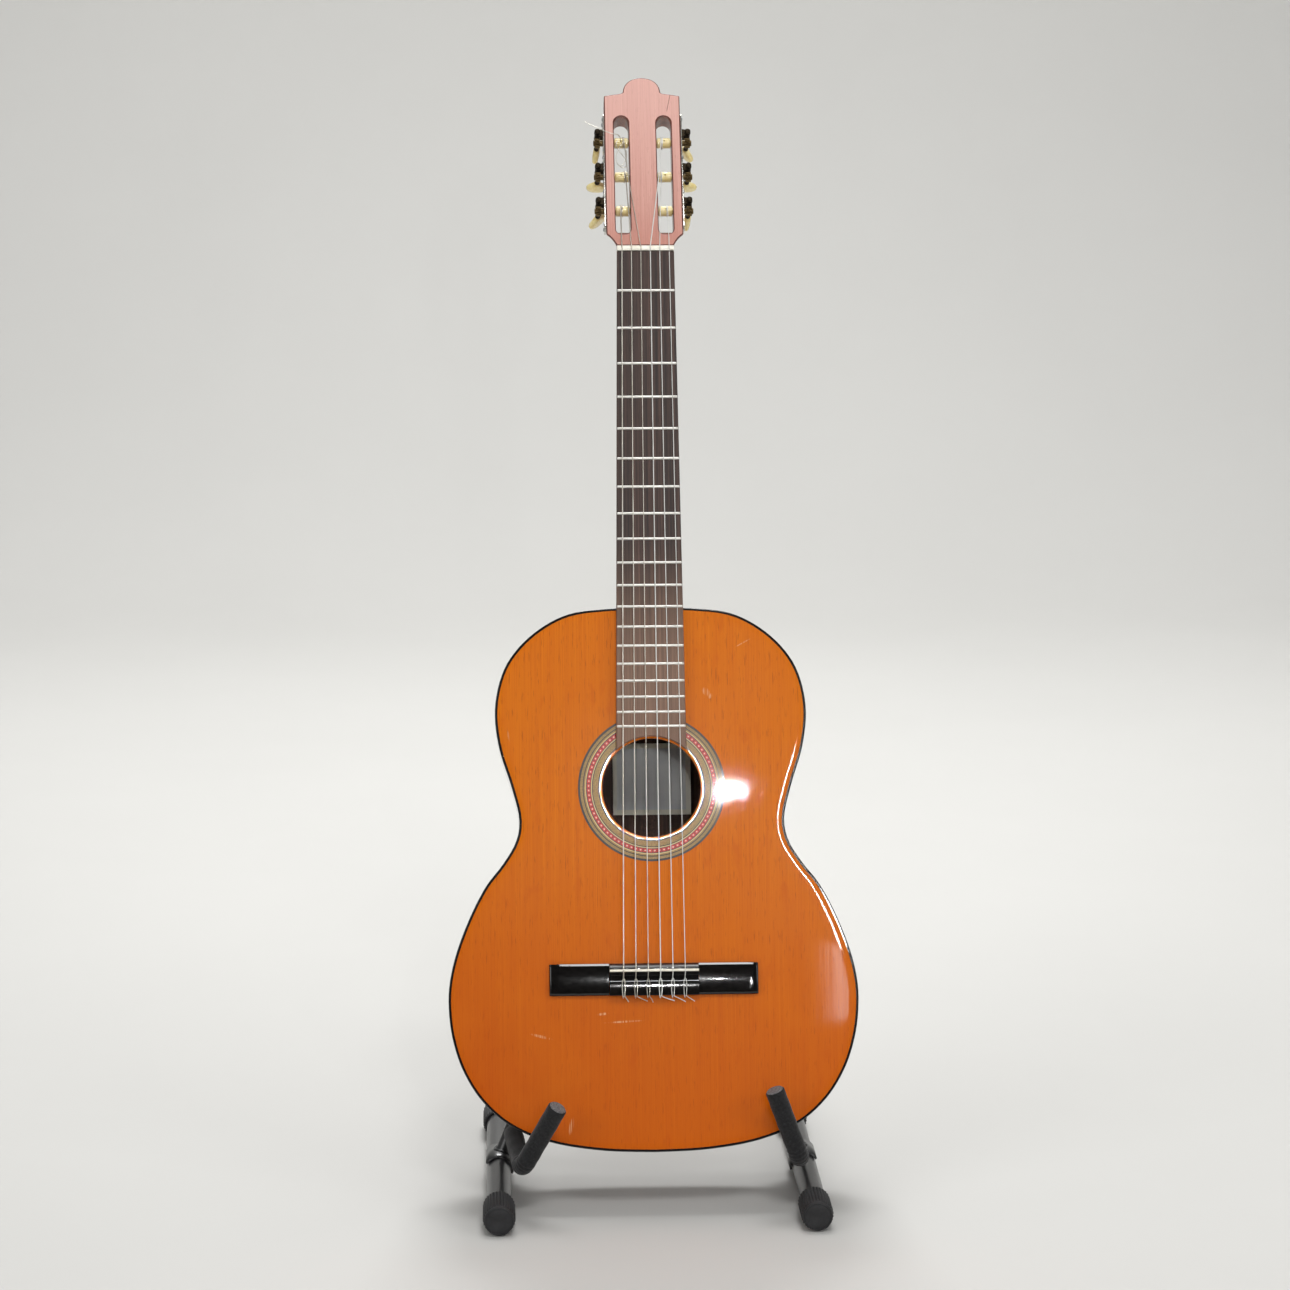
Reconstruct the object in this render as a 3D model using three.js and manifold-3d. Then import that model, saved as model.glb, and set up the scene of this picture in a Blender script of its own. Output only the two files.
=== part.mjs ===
// A slotted-head classical guitar resting in a folding A-frame floor stand.
// Millimetres, +Z up. +X is the right-hand side seen from the front, -Y is the front.
import * as THREE from 'three';
import { mergeVertices } from 'three/addons/utils/BufferGeometryUtils.js';
import Module from 'manifold-3d';

const wasm = await Module();
wasm.setup();

const { PI, cos, sin, tan } = Math;
const degrees = (angle) => (angle * PI) / 180;

// ---------------------------------------------------------------- driving dimensions

const GAP = 0.3; // clearance kept between touching pieces
const ORIGIN_SHIFT_Y = -35.4; // puts the origin under the middle of the whole object

// Guitar. Its own frame: x across, y up the strings from the tail, z out of the soundboard.
const SCALE_LENGTH = 650;
const FRET_COUNT = 19;
const BODY_LENGTH = 488;
const DEPTH_TAIL = 96;
const DEPTH_HEEL = 91;
const GUITAR_LEAN = degrees(15.7);
const GUITAR_FOOT_Y = -99; // soundboard's lower edge, before the origin shift
const GUITAR_FOOT_Z = 57;

const NUT_Y = BODY_LENGTH + SCALE_LENGTH / 2;
const NUT_HALF_WIDTH = 26;
const JOINT_HALF_WIDTH = 30;
const BOARD_TOP = 6.8;
const FRET_TOP = 7.9;
const FRET_WIDTH = 2;
const NUT_TOP = 8.7;
const NUT_THICKNESS = 4.7;

const HOLE_Y = 325;
const HOLE_RADIUS = 44.3;
const ROSETTE_INNER = 46.9;
const ROSETTE_OUTER = 66.2;
const ROSETTE_DEPTH = 0.8;
const SOUNDBOARD_THICKNESS = 2.6;
const BACK_THICKNESS = 2.8;
const RIB_THICKNESS = 2.8;
const BINDING_WIDTH = 2.3;
const BINDING_HEIGHT = 6;
const LINING_WIDTH = 9;
const LINING_HEIGHT = 16;

const SADDLE_Y = NUT_Y - SCALE_LENGTH - 1.5; // set back to keep fretted notes in tune
const SADDLE_TOP = 14.2;
const SADDLE_THICKNESS = 2.2;
const SADDLE_SEAT = 3.5; // floor of the saddle's slot in the bridge
const BRIDGE_HALF_LENGTH = 93.5;
const BRIDGE_HALF_CENTRE = 40;
const TIE_HOLE_Z = 5;
const TIE_HOLE_RADIUS = 1.1;

// Head. Its own frame: x across, y up the head from the nut, z out of the face.
const HEAD_TILT = degrees(15);
const HEAD_ORIGIN_Y = NUT_Y + 0.2;
const HEAD_ORIGIN_Z = 4.42;
const HEAD_HALF_WIDTH = 35;
const HEAD_THICKNESS = 20;
const VENEER_THICKNESS = 2.2;
const SLOT_INNER = 12.8;
const SLOT_OUTER = 26.4;
const SLOT_LOW = 17.8;
const SLOT_HIGH = 138.5;

// Tuning machines, in the head's frame
const ROLLER_LOW = 45;
const ROLLER_SPACING = 35;
const ROLLER_Z = -9;
const ROLLER_RADIUS = 4.8;
const AXLE_RADIUS = 3;
const PLATE_THICKNESS = 1.2;
const PLATE_LOW = 24;
const PLATE_HIGH = 142;
const WORM_X = 41.6;
const WORM_RISE = 7.6;
const WORM_RADIUS = 2.7;
const WORM_SHAFT_RADIUS = 1.6;
const GEAR_TEETH = 14;
const GEAR_TIP_RADIUS = 4.6;
const GEAR_ROOT_RADIUS = 3.4;
const GEAR_THICKNESS = 5;

const STRING_RADII = [0.55, 0.46, 0.38, 0.5, 0.41, 0.36];
const STRING_SPACING_NUT = 8.6;
const STRING_SPACING_SADDLE = 11;

// Stand. Each side frame lies in one plane that leans inwards about its floor tube.
const FOOT_X = 140;
const FOOT_RADIUS = 11;
const FOOT_HALF_LENGTH = 151;
const CAP_RADIUS = 14.5;
const CAP_LENGTH = 43;
const CAP_DISC = 3.7;
const FRAME_TILT = degrees(23);
const UPRIGHT_LEAN = degrees(14.2);
const UPRIGHT_RADIUS = 7.5;
const UPRIGHT_LENGTH_Z = 326;
const HINGE_OFFSET = 8.5; // from the hinge line to the middle plane of each side frame
const HINGE_EYE_RADIUS = 9;
const HINGE_PIN_RADIUS = 4;
const LUG_THICKNESS = 6;
const ARM_REAR_Z = 32.6;
const ARM_BEND_Z = 37;
const ARM_BEND_Y = -105;
const ARM_ROD_RADIUS = 5;
const SLEEVE_RADIUS = 8.8;
const PRONG_LENGTH = 71;
// The two arms were bent and welded slightly differently: how far each arm swings inwards
// about its upright, how far its prong leans forward, and how far the prong leans inwards.
const ARM_SETS = {
  left: { swing: degrees(3.6), lean: degrees(14.8), inward: degrees(3) },
  right: { swing: degrees(-1.8), lean: degrees(5), inward: degrees(-3) },
};
const BEND_RADIUS = 15;
const BACK_SLEEVE_RADIUS = 10.3;
const BACK_SLEEVE_LOW = 214;
const BACK_SLEEVE_HIGH = 286;

// ---------------------------------------------------------------- looks

const look = (color, roughness, metalness) =>
  new THREE.MeshStandardMaterial({ color, roughness, metalness });
const LOOKS = {
  spruce: () => look(0xc4641a, 0.22, 0),
  ribs: () => look(0x6b3a1e, 0.28, 0),
  mahogany: () => look(0x7a4526, 0.35, 0),
  veneer: () => look(0xc9968a, 0.4, 0),
  rosewood: () => look(0x4a3128, 0.5, 0),
  blackPlastic: () => look(0x0d0c0c, 0.3, 0),
  bone: () => look(0xefe8d8, 0.4, 0),
  ivory: () => look(0xe6d9a2, 0.35, 0),
  inlay: () => look(0x8f7a45, 0.35, 0),
  rawSpruce: () => look(0xd9bf8c, 0.8, 0),
  paper: () => look(0xcfcfc8, 0.9, 0),
  string: () => look(0xdcdcd6, 0.3, 0.1),
  wound: () => look(0xa9a49a, 0.35, 0.8),
  plate: () => look(0xd8d8d4, 0.2, 1),
  worm: () => look(0x2b2622, 0.35, 0.8),
  tube: () => look(0x26272a, 0.25, 0.7),
  paint: () => look(0x17181a, 0.4, 0.4),
  rubber: () => look(0x202022, 0.8, 0),
  foam: () => look(0x141414, 0.95, 0),
  steel: () => look(0x8a8c90, 0.35, 1),
};

// ---------------------------------------------------------------- shape helpers

const v2 = (x, y) => new THREE.Vector2(x, y);
const v3 = (x, y, z) => new THREE.Vector3(x, y, z);

function meshed(vertices, triangles) {
  const geometry = new THREE.BufferGeometry();
  geometry.setAttribute('position', new THREE.Float32BufferAttribute(vertices, 3));
  geometry.setIndex(triangles);
  return geometry;
}

// A closed geometry as a solid that can be joined and cut.
function solid(geometry) {
  const bare = geometry.clone();
  bare.deleteAttribute('normal');
  bare.deleteAttribute('uv');
  const merged = mergeVertices(bare, 1e-4);
  const index = merged.index.array;
  const triangles = [];
  for (let i = 0; i < index.length; i += 3) {
    const [a, b, c] = [index[i], index[i + 1], index[i + 2]];
    if (a !== b && b !== c && c !== a) triangles.push(a, b, c);
  }
  return new wasm.Manifold(new wasm.Mesh({
    numProp: 3,
    vertProperties: new Float32Array(merged.attributes.position.array),
    triVerts: new Uint32Array(triangles),
  }));
}

function fromSolid(body) {
  const mesh = body.getMesh();
  return meshed(Array.from(mesh.vertProperties), Array.from(mesh.triVerts));
}

// The first geometry with the others joined on, and the cutters taken away.
function carved(joined, cutters = []) {
  let body = solid(joined[0]);
  for (const piece of joined.slice(1)) body = body.add(solid(piece));
  for (const cutter of cutters) body = body.subtract(solid(cutter));
  return fromSolid(body);
}

// A flat outline between two surfaces; each surface is a height or a function of (x, y).
function slab(shape, back, front, curveSegments = 12) {
  const height = (surface, x, y) => (typeof surface === 'function' ? surface(x, y) : surface);
  const geometry = new THREE.ExtrudeGeometry(shape, { depth: 1, bevelEnabled: false, curveSegments });
  const position = geometry.attributes.position;
  for (let i = 0; i < position.count; i += 1) {
    const [x, y] = [position.getX(i), position.getY(i)];
    position.setZ(i, height(position.getZ(i) > 0.5 ? front : back, x, y));
  }
  return geometry;
}

function block(xRange, yRange, zRange) {
  const size = [xRange, yRange, zRange].map(([low, high]) => high - low);
  const middle = [xRange, yRange, zRange].map(([low, high]) => (low + high) / 2);
  return new THREE.BoxGeometry(...size).translate(...middle);
}

// A solid of revolution about the y axis; the profile is [radius, height] from bottom to top.
function turned(profile, segments) {
  return new THREE.LatheGeometry(profile.map(([r, h]) => v2(r, h)), segments);
}

function rodAlongX(radius, from, to, segments = 12) {
  return new THREE.CylinderGeometry(radius, radius, to - from, segments)
    .rotateZ(-PI / 2)
    .translate((from + to) / 2, 0, 0);
}

function rodAlongY(radius, from, to, segments = 16) {
  return new THREE.CylinderGeometry(radius, radius, to - from, segments)
    .translate(0, (from + to) / 2, 0);
}

// A closed round bar that follows a list of points.
function bar(points, radius, sides) {
  const vertices = [];
  const triangles = [];
  const tangents = points.map((point, i) => {
    const before = points[Math.max(i - 1, 0)];
    const after = points[Math.min(i + 1, points.length - 1)];
    return after.clone().sub(before).normalize();
  });
  let normal = v3(1, 0, 0);
  if (Math.abs(tangents[0].x) > 0.9) normal = v3(0, 0, 1);
  points.forEach((point, i) => {
    const binormal = tangents[i].clone().cross(normal).normalize();
    normal = binormal.clone().cross(tangents[i]).normalize();
    for (let j = 0; j < sides; j += 1) {
      const angle = ((j + 0.5) * 2 * PI) / sides;
      const corner = point.clone()
        .addScaledVector(normal, radius * cos(angle))
        .addScaledVector(binormal, radius * sin(angle));
      vertices.push(corner.x, corner.y, corner.z);
    }
  });
  for (let i = 0; i < points.length - 1; i += 1) {
    for (let j = 0; j < sides; j += 1) {
      const a = i * sides + j;
      const b = i * sides + ((j + 1) % sides);
      triangles.push(a, b, a + sides, b, b + sides, a + sides);
    }
  }
  const last = (points.length - 1) * sides;
  for (let j = 1; j < sides - 1; j += 1) {
    triangles.push(0, j + 1, j, last, last + j, last + j + 1);
  }
  return meshed(vertices, triangles);
}

// A closed skin through a list of equal rings of points, flat at both ends.
function loft(rings) {
  const count = rings[0].length;
  const vertices = rings.flat().flatMap((point) => [point.x, point.y, point.z]);
  const triangles = [];
  for (let i = 0; i < rings.length - 1; i += 1) {
    for (let j = 0; j < count; j += 1) {
      const a = i * count + j;
      const b = i * count + ((j + 1) % count);
      triangles.push(a, b, a + count, b, b + count, a + count);
    }
  }
  const last = (rings.length - 1) * count;
  for (let j = 1; j < count - 1; j += 1) {
    triangles.push(0, j + 1, j, last, last + j, last + j + 1);
  }
  return meshed(vertices, triangles);
}

// ---------------------------------------------------------------- assembly

const guitarOnStand = new THREE.Group();
guitarOnStand.position.y = ORIGIN_SHIFT_Y;

function add(group, name, geometry, material) {
  const mesh = new THREE.Mesh(geometry, material());
  mesh.name = name;
  group.add(mesh);
  return mesh;
}

const guitar = new THREE.Group();
guitar.position.set(0, GUITAR_FOOT_Y, GUITAR_FOOT_Z);
guitar.rotation.x = PI / 2 - GUITAR_LEAN;
guitarOnStand.add(guitar);

// ---------------------------------------------------------------- guitar body

// Right-hand half of the plan outline, from the neck joint round to the tail.
const HALF_OUTLINE = [
  [0, 488], [40, 486.8], [72, 482.5], [98, 470], [120, 450.5], [134, 427], [140.3, 395],
  [136.5, 361], [126, 327], [119.2, 298], [122.5, 277], [134.5, 257], [149, 238.5], [162.3, 214],
  [174.5, 184], [181.5, 158], [183.6, 134], [180.5, 104], [170.5, 73], [152.5, 45], [126, 23],
  [90, 9], [45, 1.8], [0, 0],
];
const OUTLINE_STEPS = 24;

// The closed outline, counter-clockwise seen from the front, moved inwards by an inset.
function bodyOutline(inset) {
  const half = new THREE.SplineCurve(HALF_OUTLINE.map(([x, y]) => v2(x, y)));
  const right = half.getSpacedPoints(OUTLINE_STEPS);
  const left = right.slice(1, -1).map((point) => v2(-point.x, point.y));
  const ring = [...right.slice().reverse(), ...left];
  return ring.map((point, i) => {
    const before = ring[(i + ring.length - 1) % ring.length];
    const after = ring[(i + 1) % ring.length];
    const along = after.clone().sub(before).normalize();
    return v2(point.x - along.y * inset, point.y + along.x * inset);
  });
}

const backHeight = (y) => -(DEPTH_TAIL + ((DEPTH_HEEL - DEPTH_TAIL) * y) / BODY_LENGTH);

// A hoop round the body: its section is a list of [inset, height, fromBack] corners.
function hoop(section) {
  const rings = section.map(([inset, height, fromBack]) =>
    bodyOutline(inset).map((point) =>
      v3(point.x, point.y, fromBack ? backHeight(point.y) + height : height)));
  const count = rings[0].length;
  const vertices = rings.flat().flatMap((point) => [point.x, point.y, point.z]);
  const triangles = [];
  rings.forEach((ring, k) => {
    const next = (k + 1) % rings.length;
    for (let i = 0; i < count; i += 1) {
      const j = (i + 1) % count;
      const [a, b] = [k * count + i, next * count + i];
      const [c, d] = [k * count + j, next * count + j];
      triangles.push(a, c, b, b, c, d);
    }
  });
  return meshed(vertices, triangles);
}

const PANEL_INSET = BINDING_WIDTH + GAP;

function circlePath(x, y, radius) {
  const path = new THREE.Path();
  path.absarc(x, y, radius, 0, 2 * PI, false);
  return path;
}

function discShape(x, y, radius) {
  const shape = new THREE.Shape();
  shape.absarc(x, y, radius, 0, 2 * PI, false);
  return shape;
}

function makeSoundboard() {
  const shape = new THREE.Shape(bodyOutline(PANEL_INSET));
  shape.holes.push(circlePath(0, HOLE_Y, HOLE_RADIUS));
  const channel = discShape(0, HOLE_Y, ROSETTE_OUTER + GAP);
  channel.holes.push(circlePath(0, HOLE_Y, ROSETTE_INNER - GAP));
  const channelFloor = -ROSETTE_DEPTH - GAP;
  return carved(
    [slab(shape, -SOUNDBOARD_THICKNESS, 0, 18)],
    [slab(channel, channelFloor, 1, 18)],
  );
}

function makeRosette() {
  const ring = discShape(0, HOLE_Y, ROSETTE_OUTER);
  ring.holes.push(circlePath(0, HOLE_Y, ROSETTE_INNER));
  return slab(ring, -ROSETTE_DEPTH, 0, 18);
}

function makeBack() {
  const shape = new THREE.Shape(bodyOutline(PANEL_INSET));
  return slab(shape, (x, y) => backHeight(y), (x, y) => backHeight(y) + BACK_THICKNESS);
}

function makeRibs() {
  const bandTop = -BINDING_HEIGHT - GAP;
  const liningTop = -SOUNDBOARD_THICKNESS - GAP;
  const liningBottom = BACK_THICKNESS + GAP;
  return hoop([
    [0, BINDING_HEIGHT + GAP, true],
    [0, bandTop, false],
    [PANEL_INSET, bandTop, false],
    [PANEL_INSET, liningTop, false],
    [LINING_WIDTH, liningTop, false],
    [RIB_THICKNESS, liningTop - LINING_HEIGHT, false],
    [RIB_THICKNESS, liningBottom + LINING_HEIGHT, true],
    [LINING_WIDTH, liningBottom, true],
    [PANEL_INSET, liningBottom, true],
    [PANEL_INSET, BINDING_HEIGHT + GAP, true],
  ]);
}

const makeFrontBinding = () => hoop([
  [BINDING_WIDTH, -BINDING_HEIGHT, false],
  [0, -BINDING_HEIGHT, false],
  [0, 0, false],
  [BINDING_WIDTH, 0, false],
]);

const makeBackBinding = () => hoop([
  [BINDING_WIDTH, 0, true],
  [0, 0, true],
  [0, BINDING_HEIGHT, true],
  [BINDING_WIDTH, BINDING_HEIGHT, true],
]);

// Harmonic bars above and below the soundhole, joined by reinforcing strips, with fan struts.
function makeFrontBracing() {
  const top = -SOUNDBOARD_THICKNESS - GAP;
  const barDepth = 14;
  const strutDepth = 5;
  const halfBar = 3;
  const [lowBarY, lowBarHalf] = [268, 108];
  const [highBarY, highBarHalf] = [388, 100];
  const [stripInner, stripOuter] = [54, 62];
  const fan = { length: 190, spacing: 17, spread: degrees(7) };
  const pieces = [];
  for (const [y, half] of [[lowBarY, lowBarHalf], [highBarY, highBarHalf]]) {
    pieces.push(block([-half, half], [y - halfBar, y + halfBar], [top - barDepth, top]));
  }
  for (const [low, high] of [[-stripOuter, -stripInner], [stripInner, stripOuter]]) {
    pieces.push(block([low, high], [lowBarY, highBarY], [top - strutDepth, top]));
  }
  for (const step of [-2, -1, 0, 1, 2]) {
    const strut = block([-halfBar, halfBar], [-fan.length, 0], [top - strutDepth, top]);
    pieces.push(strut.rotateZ(fan.spread * step).translate(fan.spacing * step, lowBarY, 0));
  }
  return carved(pieces);
}

const SEAM_THICKNESS = 2.5; // strip over the back's centre joint

// Cross bars over the back, joined by the strip that covers the centre seam.
function makeBackBracing() {
  const depthAt = (y) => backHeight(y) + BACK_THICKNESS + GAP;
  const seamHalf = 7;
  const [barHalf, barDepth] = [4, 13];
  const pieces = [block([-seamHalf, seamHalf], [60, 440], [0, SEAM_THICKNESS])];
  for (const [y, half] of [[110, 168], [235, 128], [390, 124]]) {
    pieces.push(block([-half, half], [y - barHalf, y + barHalf], [0, barDepth]));
  }
  const body = carved(pieces);
  const position = body.attributes.position;
  for (let i = 0; i < position.count; i += 1) {
    position.setZ(i, position.getZ(i) + depthAt(position.getY(i)));
  }
  return body;
}

function makeBlock(low, high, halfWidth) {
  const top = -SOUNDBOARD_THICKNESS - GAP;
  const shape = new THREE.Shape([
    v2(-halfWidth, low), v2(halfWidth, low), v2(halfWidth, high), v2(-halfWidth, high),
  ]);
  return slab(shape, (x, y) => backHeight(y) + BACK_THICKNESS + GAP, top);
}

// Maker's-label sheet: blank paper on the inside of the back, between two cross bars.
function makeLabel() {
  const [left, right, low, high] = [-32, 40, 304, 370];
  const thickness = 0.4;
  const shape = new THREE.Shape([v2(left, low), v2(right, low), v2(right, high), v2(left, high)]);
  const under = (y) => backHeight(y) + BACK_THICKNESS + SEAM_THICKNESS + 2 * GAP;
  return slab(shape, (x, y) => under(y), (x, y) => under(y) + thickness);
}

add(guitar, 'soundboard', makeSoundboard(), LOOKS.spruce);
add(guitar, 'rosette', makeRosette(), LOOKS.inlay);
add(guitar, 'back_panel', makeBack(), LOOKS.ribs);
add(guitar, 'side_ribs', makeRibs(), LOOKS.ribs);
add(guitar, 'front_binding', makeFrontBinding(), LOOKS.blackPlastic);
add(guitar, 'back_binding', makeBackBinding(), LOOKS.blackPlastic);
add(guitar, 'front_bracing', makeFrontBracing(), LOOKS.rawSpruce);
add(guitar, 'back_bracing', makeBackBracing(), LOOKS.rawSpruce);
add(guitar, 'neck_block', makeBlock(448, 477, 33), LOOKS.mahogany);
add(guitar, 'tail_block', makeBlock(10.5, 26, 30), LOOKS.mahogany);
add(guitar, 'label', makeLabel(), LOOKS.paper);

// ---------------------------------------------------------------- bridge

const stringX = (index, spacing) => (index - 2.5) * spacing;

function makeBridge() {
  const [tail, tieFront, ridgeBack, ridgeFront, front] = [139, 152.5, 156.5, 164.2, 168];
  const [wingTop, wingSlope, frontTop, ridgeTop, valley, tieTop] = [4, 3, 3, 8, 4.2, 9.5];
  const wing = new THREE.Shape([
    v2(tail, GAP), v2(front, GAP), v2(front - wingSlope, wingTop), v2(tail + wingSlope, wingTop),
  ]);
  const centre = new THREE.Shape([
    v2(tail, GAP), v2(front, GAP), v2(front, frontTop), v2(ridgeFront, ridgeTop), v2(ridgeBack, ridgeTop),
    v2(ridgeBack, valley), v2(tieFront, valley), v2(tieFront, tieTop), v2(tail, tieTop),
  ]);
  // Sections drawn as (y, z) and run across the guitar.
  const across = (shape, halfLength) =>
    new THREE.ExtrudeGeometry(shape, { depth: 2 * halfLength, bevelEnabled: false })
      .translate(0, 0, -halfLength)
      .rotateY(PI / 2)
      .rotateX(PI / 2);
  const cutters = [
    block(
      [-BRIDGE_HALF_CENTRE, BRIDGE_HALF_CENTRE],
      [SADDLE_Y - SADDLE_THICKNESS / 2 - GAP, SADDLE_Y + SADDLE_THICKNESS / 2 + GAP],
      [SADDLE_SEAT, SADDLE_TOP],
    ),
  ];
  for (let i = 0; i < 6; i += 1) {
    cutters.push(rodAlongY(TIE_HOLE_RADIUS, tail - 1, tieFront + 1, 8)
      .translate(stringX(i, STRING_SPACING_SADDLE), 0, TIE_HOLE_Z));
  }
  return carved([across(wing, BRIDGE_HALF_LENGTH), across(centre, BRIDGE_HALF_CENTRE + 1)], cutters);
}

add(guitar, 'bridge', makeBridge(), LOOKS.blackPlastic);
add(guitar, 'saddle', block(
  [-BRIDGE_HALF_CENTRE + GAP, BRIDGE_HALF_CENTRE - GAP],
  [SADDLE_Y - SADDLE_THICKNESS / 2, SADDLE_Y + SADDLE_THICKNESS / 2],
  [SADDLE_SEAT + GAP, SADDLE_TOP],
), LOOKS.bone);

// ---------------------------------------------------------------- neck and fingerboard

const boardHalfWidth = (y) =>
  NUT_HALF_WIDTH + ((JOINT_HALF_WIDTH - NUT_HALF_WIDTH) * (NUT_Y - y)) / (NUT_Y - BODY_LENGTH);
const fretY = (fret) => NUT_Y - SCALE_LENGTH * (1 - 2 ** (-fret / 12));

function makeFingerboard() {
  const endRadius = HOLE_RADIUS + 1.7;
  const endHalfWidth = boardHalfWidth(HOLE_Y + 34);
  const endAngle = Math.acos(endHalfWidth / endRadius);
  const endY = HOLE_Y + endRadius * sin(endAngle);
  const shape = new THREE.Shape();
  shape.moveTo(-NUT_HALF_WIDTH, NUT_Y);
  shape.lineTo(-endHalfWidth, endY);
  shape.absarc(0, HOLE_Y, endRadius, PI - endAngle, endAngle, true);
  shape.lineTo(NUT_HALF_WIDTH, NUT_Y);
  const pieces = [slab(shape, GAP, BOARD_TOP, 8)];
  for (let fret = 1; fret <= FRET_COUNT; fret += 1) {
    const y = fretY(fret);
    const half = boardHalfWidth(y) - 0.6;
    pieces.push(block([-half, half], [y - FRET_WIDTH / 2, y + FRET_WIDTH / 2], [BOARD_TOP - 2, FRET_TOP]));
  }
  return carved(pieces);
}

// One half-elliptical cross-section of the neck, flat side up under the fingerboard.
function neckSection(y, depth) {
  const half = y < BODY_LENGTH + 1 ? JOINT_HALF_WIDTH : Math.min(boardHalfWidth(y), JOINT_HALF_WIDTH);
  const steps = 12;
  return Array.from({ length: steps + 1 }, (_, i) => {
    const angle = (PI * i) / steps;
    return v3(half * cos(angle), y, -depth * sin(angle));
  });
}

// Head outline with its raised crown, from the nut up one side and down the other.
function headShape() {
  const shape = new THREE.Shape();
  const throat = 6;
  const corner = 17;
  const shoulder = 159.8;
  const crownFoot = 163;
  const crownHalf = 17.3;
  const crownTop = 178.6;
  shape.moveTo(-NUT_HALF_WIDTH, throat);
  shape.quadraticCurveTo(-NUT_HALF_WIDTH - 2.5, corner - 5, -HEAD_HALF_WIDTH + 0.5, corner);
  shape.lineTo(-HEAD_HALF_WIDTH, corner + 1);
  shape.lineTo(-HEAD_HALF_WIDTH, shoulder - 1.5);
  shape.quadraticCurveTo(-HEAD_HALF_WIDTH, shoulder, -HEAD_HALF_WIDTH + 2, shoulder + 0.3);
  shape.lineTo(-crownHalf, crownFoot);
  shape.bezierCurveTo(-crownHalf, crownFoot + 10, -crownHalf * 0.55, crownTop, 0, crownTop);
  shape.bezierCurveTo(crownHalf * 0.55, crownTop, crownHalf, crownFoot + 10, crownHalf, crownFoot);
  shape.lineTo(HEAD_HALF_WIDTH - 2, shoulder + 0.3);
  shape.quadraticCurveTo(HEAD_HALF_WIDTH, shoulder, HEAD_HALF_WIDTH, shoulder - 1.5);
  shape.lineTo(HEAD_HALF_WIDTH, corner + 1);
  shape.lineTo(HEAD_HALF_WIDTH - 0.5, corner);
  shape.quadraticCurveTo(NUT_HALF_WIDTH + 2.5, corner - 5, NUT_HALF_WIDTH, throat);
  shape.closePath();
  return shape;
}

// The two string slots, round at the top, as solids that pass right through the head.
function slotCutters() {
  return [-1, 1].map((side) => {
    const middle = (side * (SLOT_INNER + SLOT_OUTER)) / 2;
    const half = (SLOT_OUTER - SLOT_INNER) / 2;
    const slot = new THREE.Shape();
    slot.moveTo(middle - half, SLOT_LOW);
    slot.lineTo(middle + half, SLOT_LOW);
    slot.lineTo(middle + half, SLOT_HIGH - half);
    slot.absarc(middle, SLOT_HIGH - half, half, 0, PI, false);
    slot.closePath();
    return slab(slot, -HEAD_THICKNESS - 5, 5, 8);
  });
}

const tilted = (geometry) => geometry.rotateX(-HEAD_TILT).translate(0, HEAD_ORIGIN_Y, HEAD_ORIGIN_Z);
const rollerHeights = [0, 1, 2].map((step) => ROLLER_LOW + step * ROLLER_SPACING);

function makeNeck() {
  // Distance up the neck, and depth of the section there: the heel sweeps down to the back.
  const stations = [
    [BODY_LENGTH + GAP, DEPTH_HEEL - 0.5], [492, 76], [498, 60], [507, 45], [520, 32], [537, 23.5],
    [558, 19], [620, 17.6], [NUT_Y - 6, 15.8], [NUT_Y + 8, 16.4],
  ];
  const shaft = loft(stations.map(([y, depth]) => neckSection(y, depth)));
  const head = tilted(slab(headShape(), -HEAD_THICKNESS, -VENEER_THICKNESS - GAP, 5));
  // Everything above the head's face is cut away, and the seat of the nut is cut square.
  const overHead = tilted(block([-60, 60], [5.6, 60], [-VENEER_THICKNESS - GAP, 40]));
  const boreInner = 8.2; // blind end of each roller's bearing hole
  const cutters = [overHead, ...slotCutters().map(tilted)];
  for (const side of [-1, 1]) {
    for (const height of rollerHeights) {
      const bore = rodAlongX(AXLE_RADIUS + GAP, boreInner, HEAD_HALF_WIDTH + 2, 12)
        .translate(0, height, ROLLER_Z);
      cutters.push(tilted(side < 0 ? bore.rotateY(PI).translate(0, 0, 2 * ROLLER_Z) : bore));
    }
  }
  return carved([shaft, head], cutters);
}

add(guitar, 'neck', makeNeck(), LOOKS.mahogany);
add(
  guitar,
  'head_veneer',
  tilted(carved([slab(headShape(), -VENEER_THICKNESS, 0, 5)], slotCutters())),
  LOOKS.veneer,
);
add(guitar, 'fingerboard', makeFingerboard(), LOOKS.rosewood);
add(guitar, 'nut', block(
  [-NUT_HALF_WIDTH + 0.2, NUT_HALF_WIDTH - 0.2],
  [NUT_Y + GAP, NUT_Y + GAP + NUT_THICKNESS],
  [GAP, NUT_TOP],
), LOOKS.bone);

// ---------------------------------------------------------------- tuning machines

const head = new THREE.Group();
head.position.set(0, HEAD_ORIGIN_Y, HEAD_ORIGIN_Z);
head.rotation.x = -HEAD_TILT;
guitar.add(head);

const plateInner = HEAD_HALF_WIDTH + GAP;
const plateOuter = plateInner + PLATE_THICKNESS;
const lugReach = 5.8;

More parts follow.
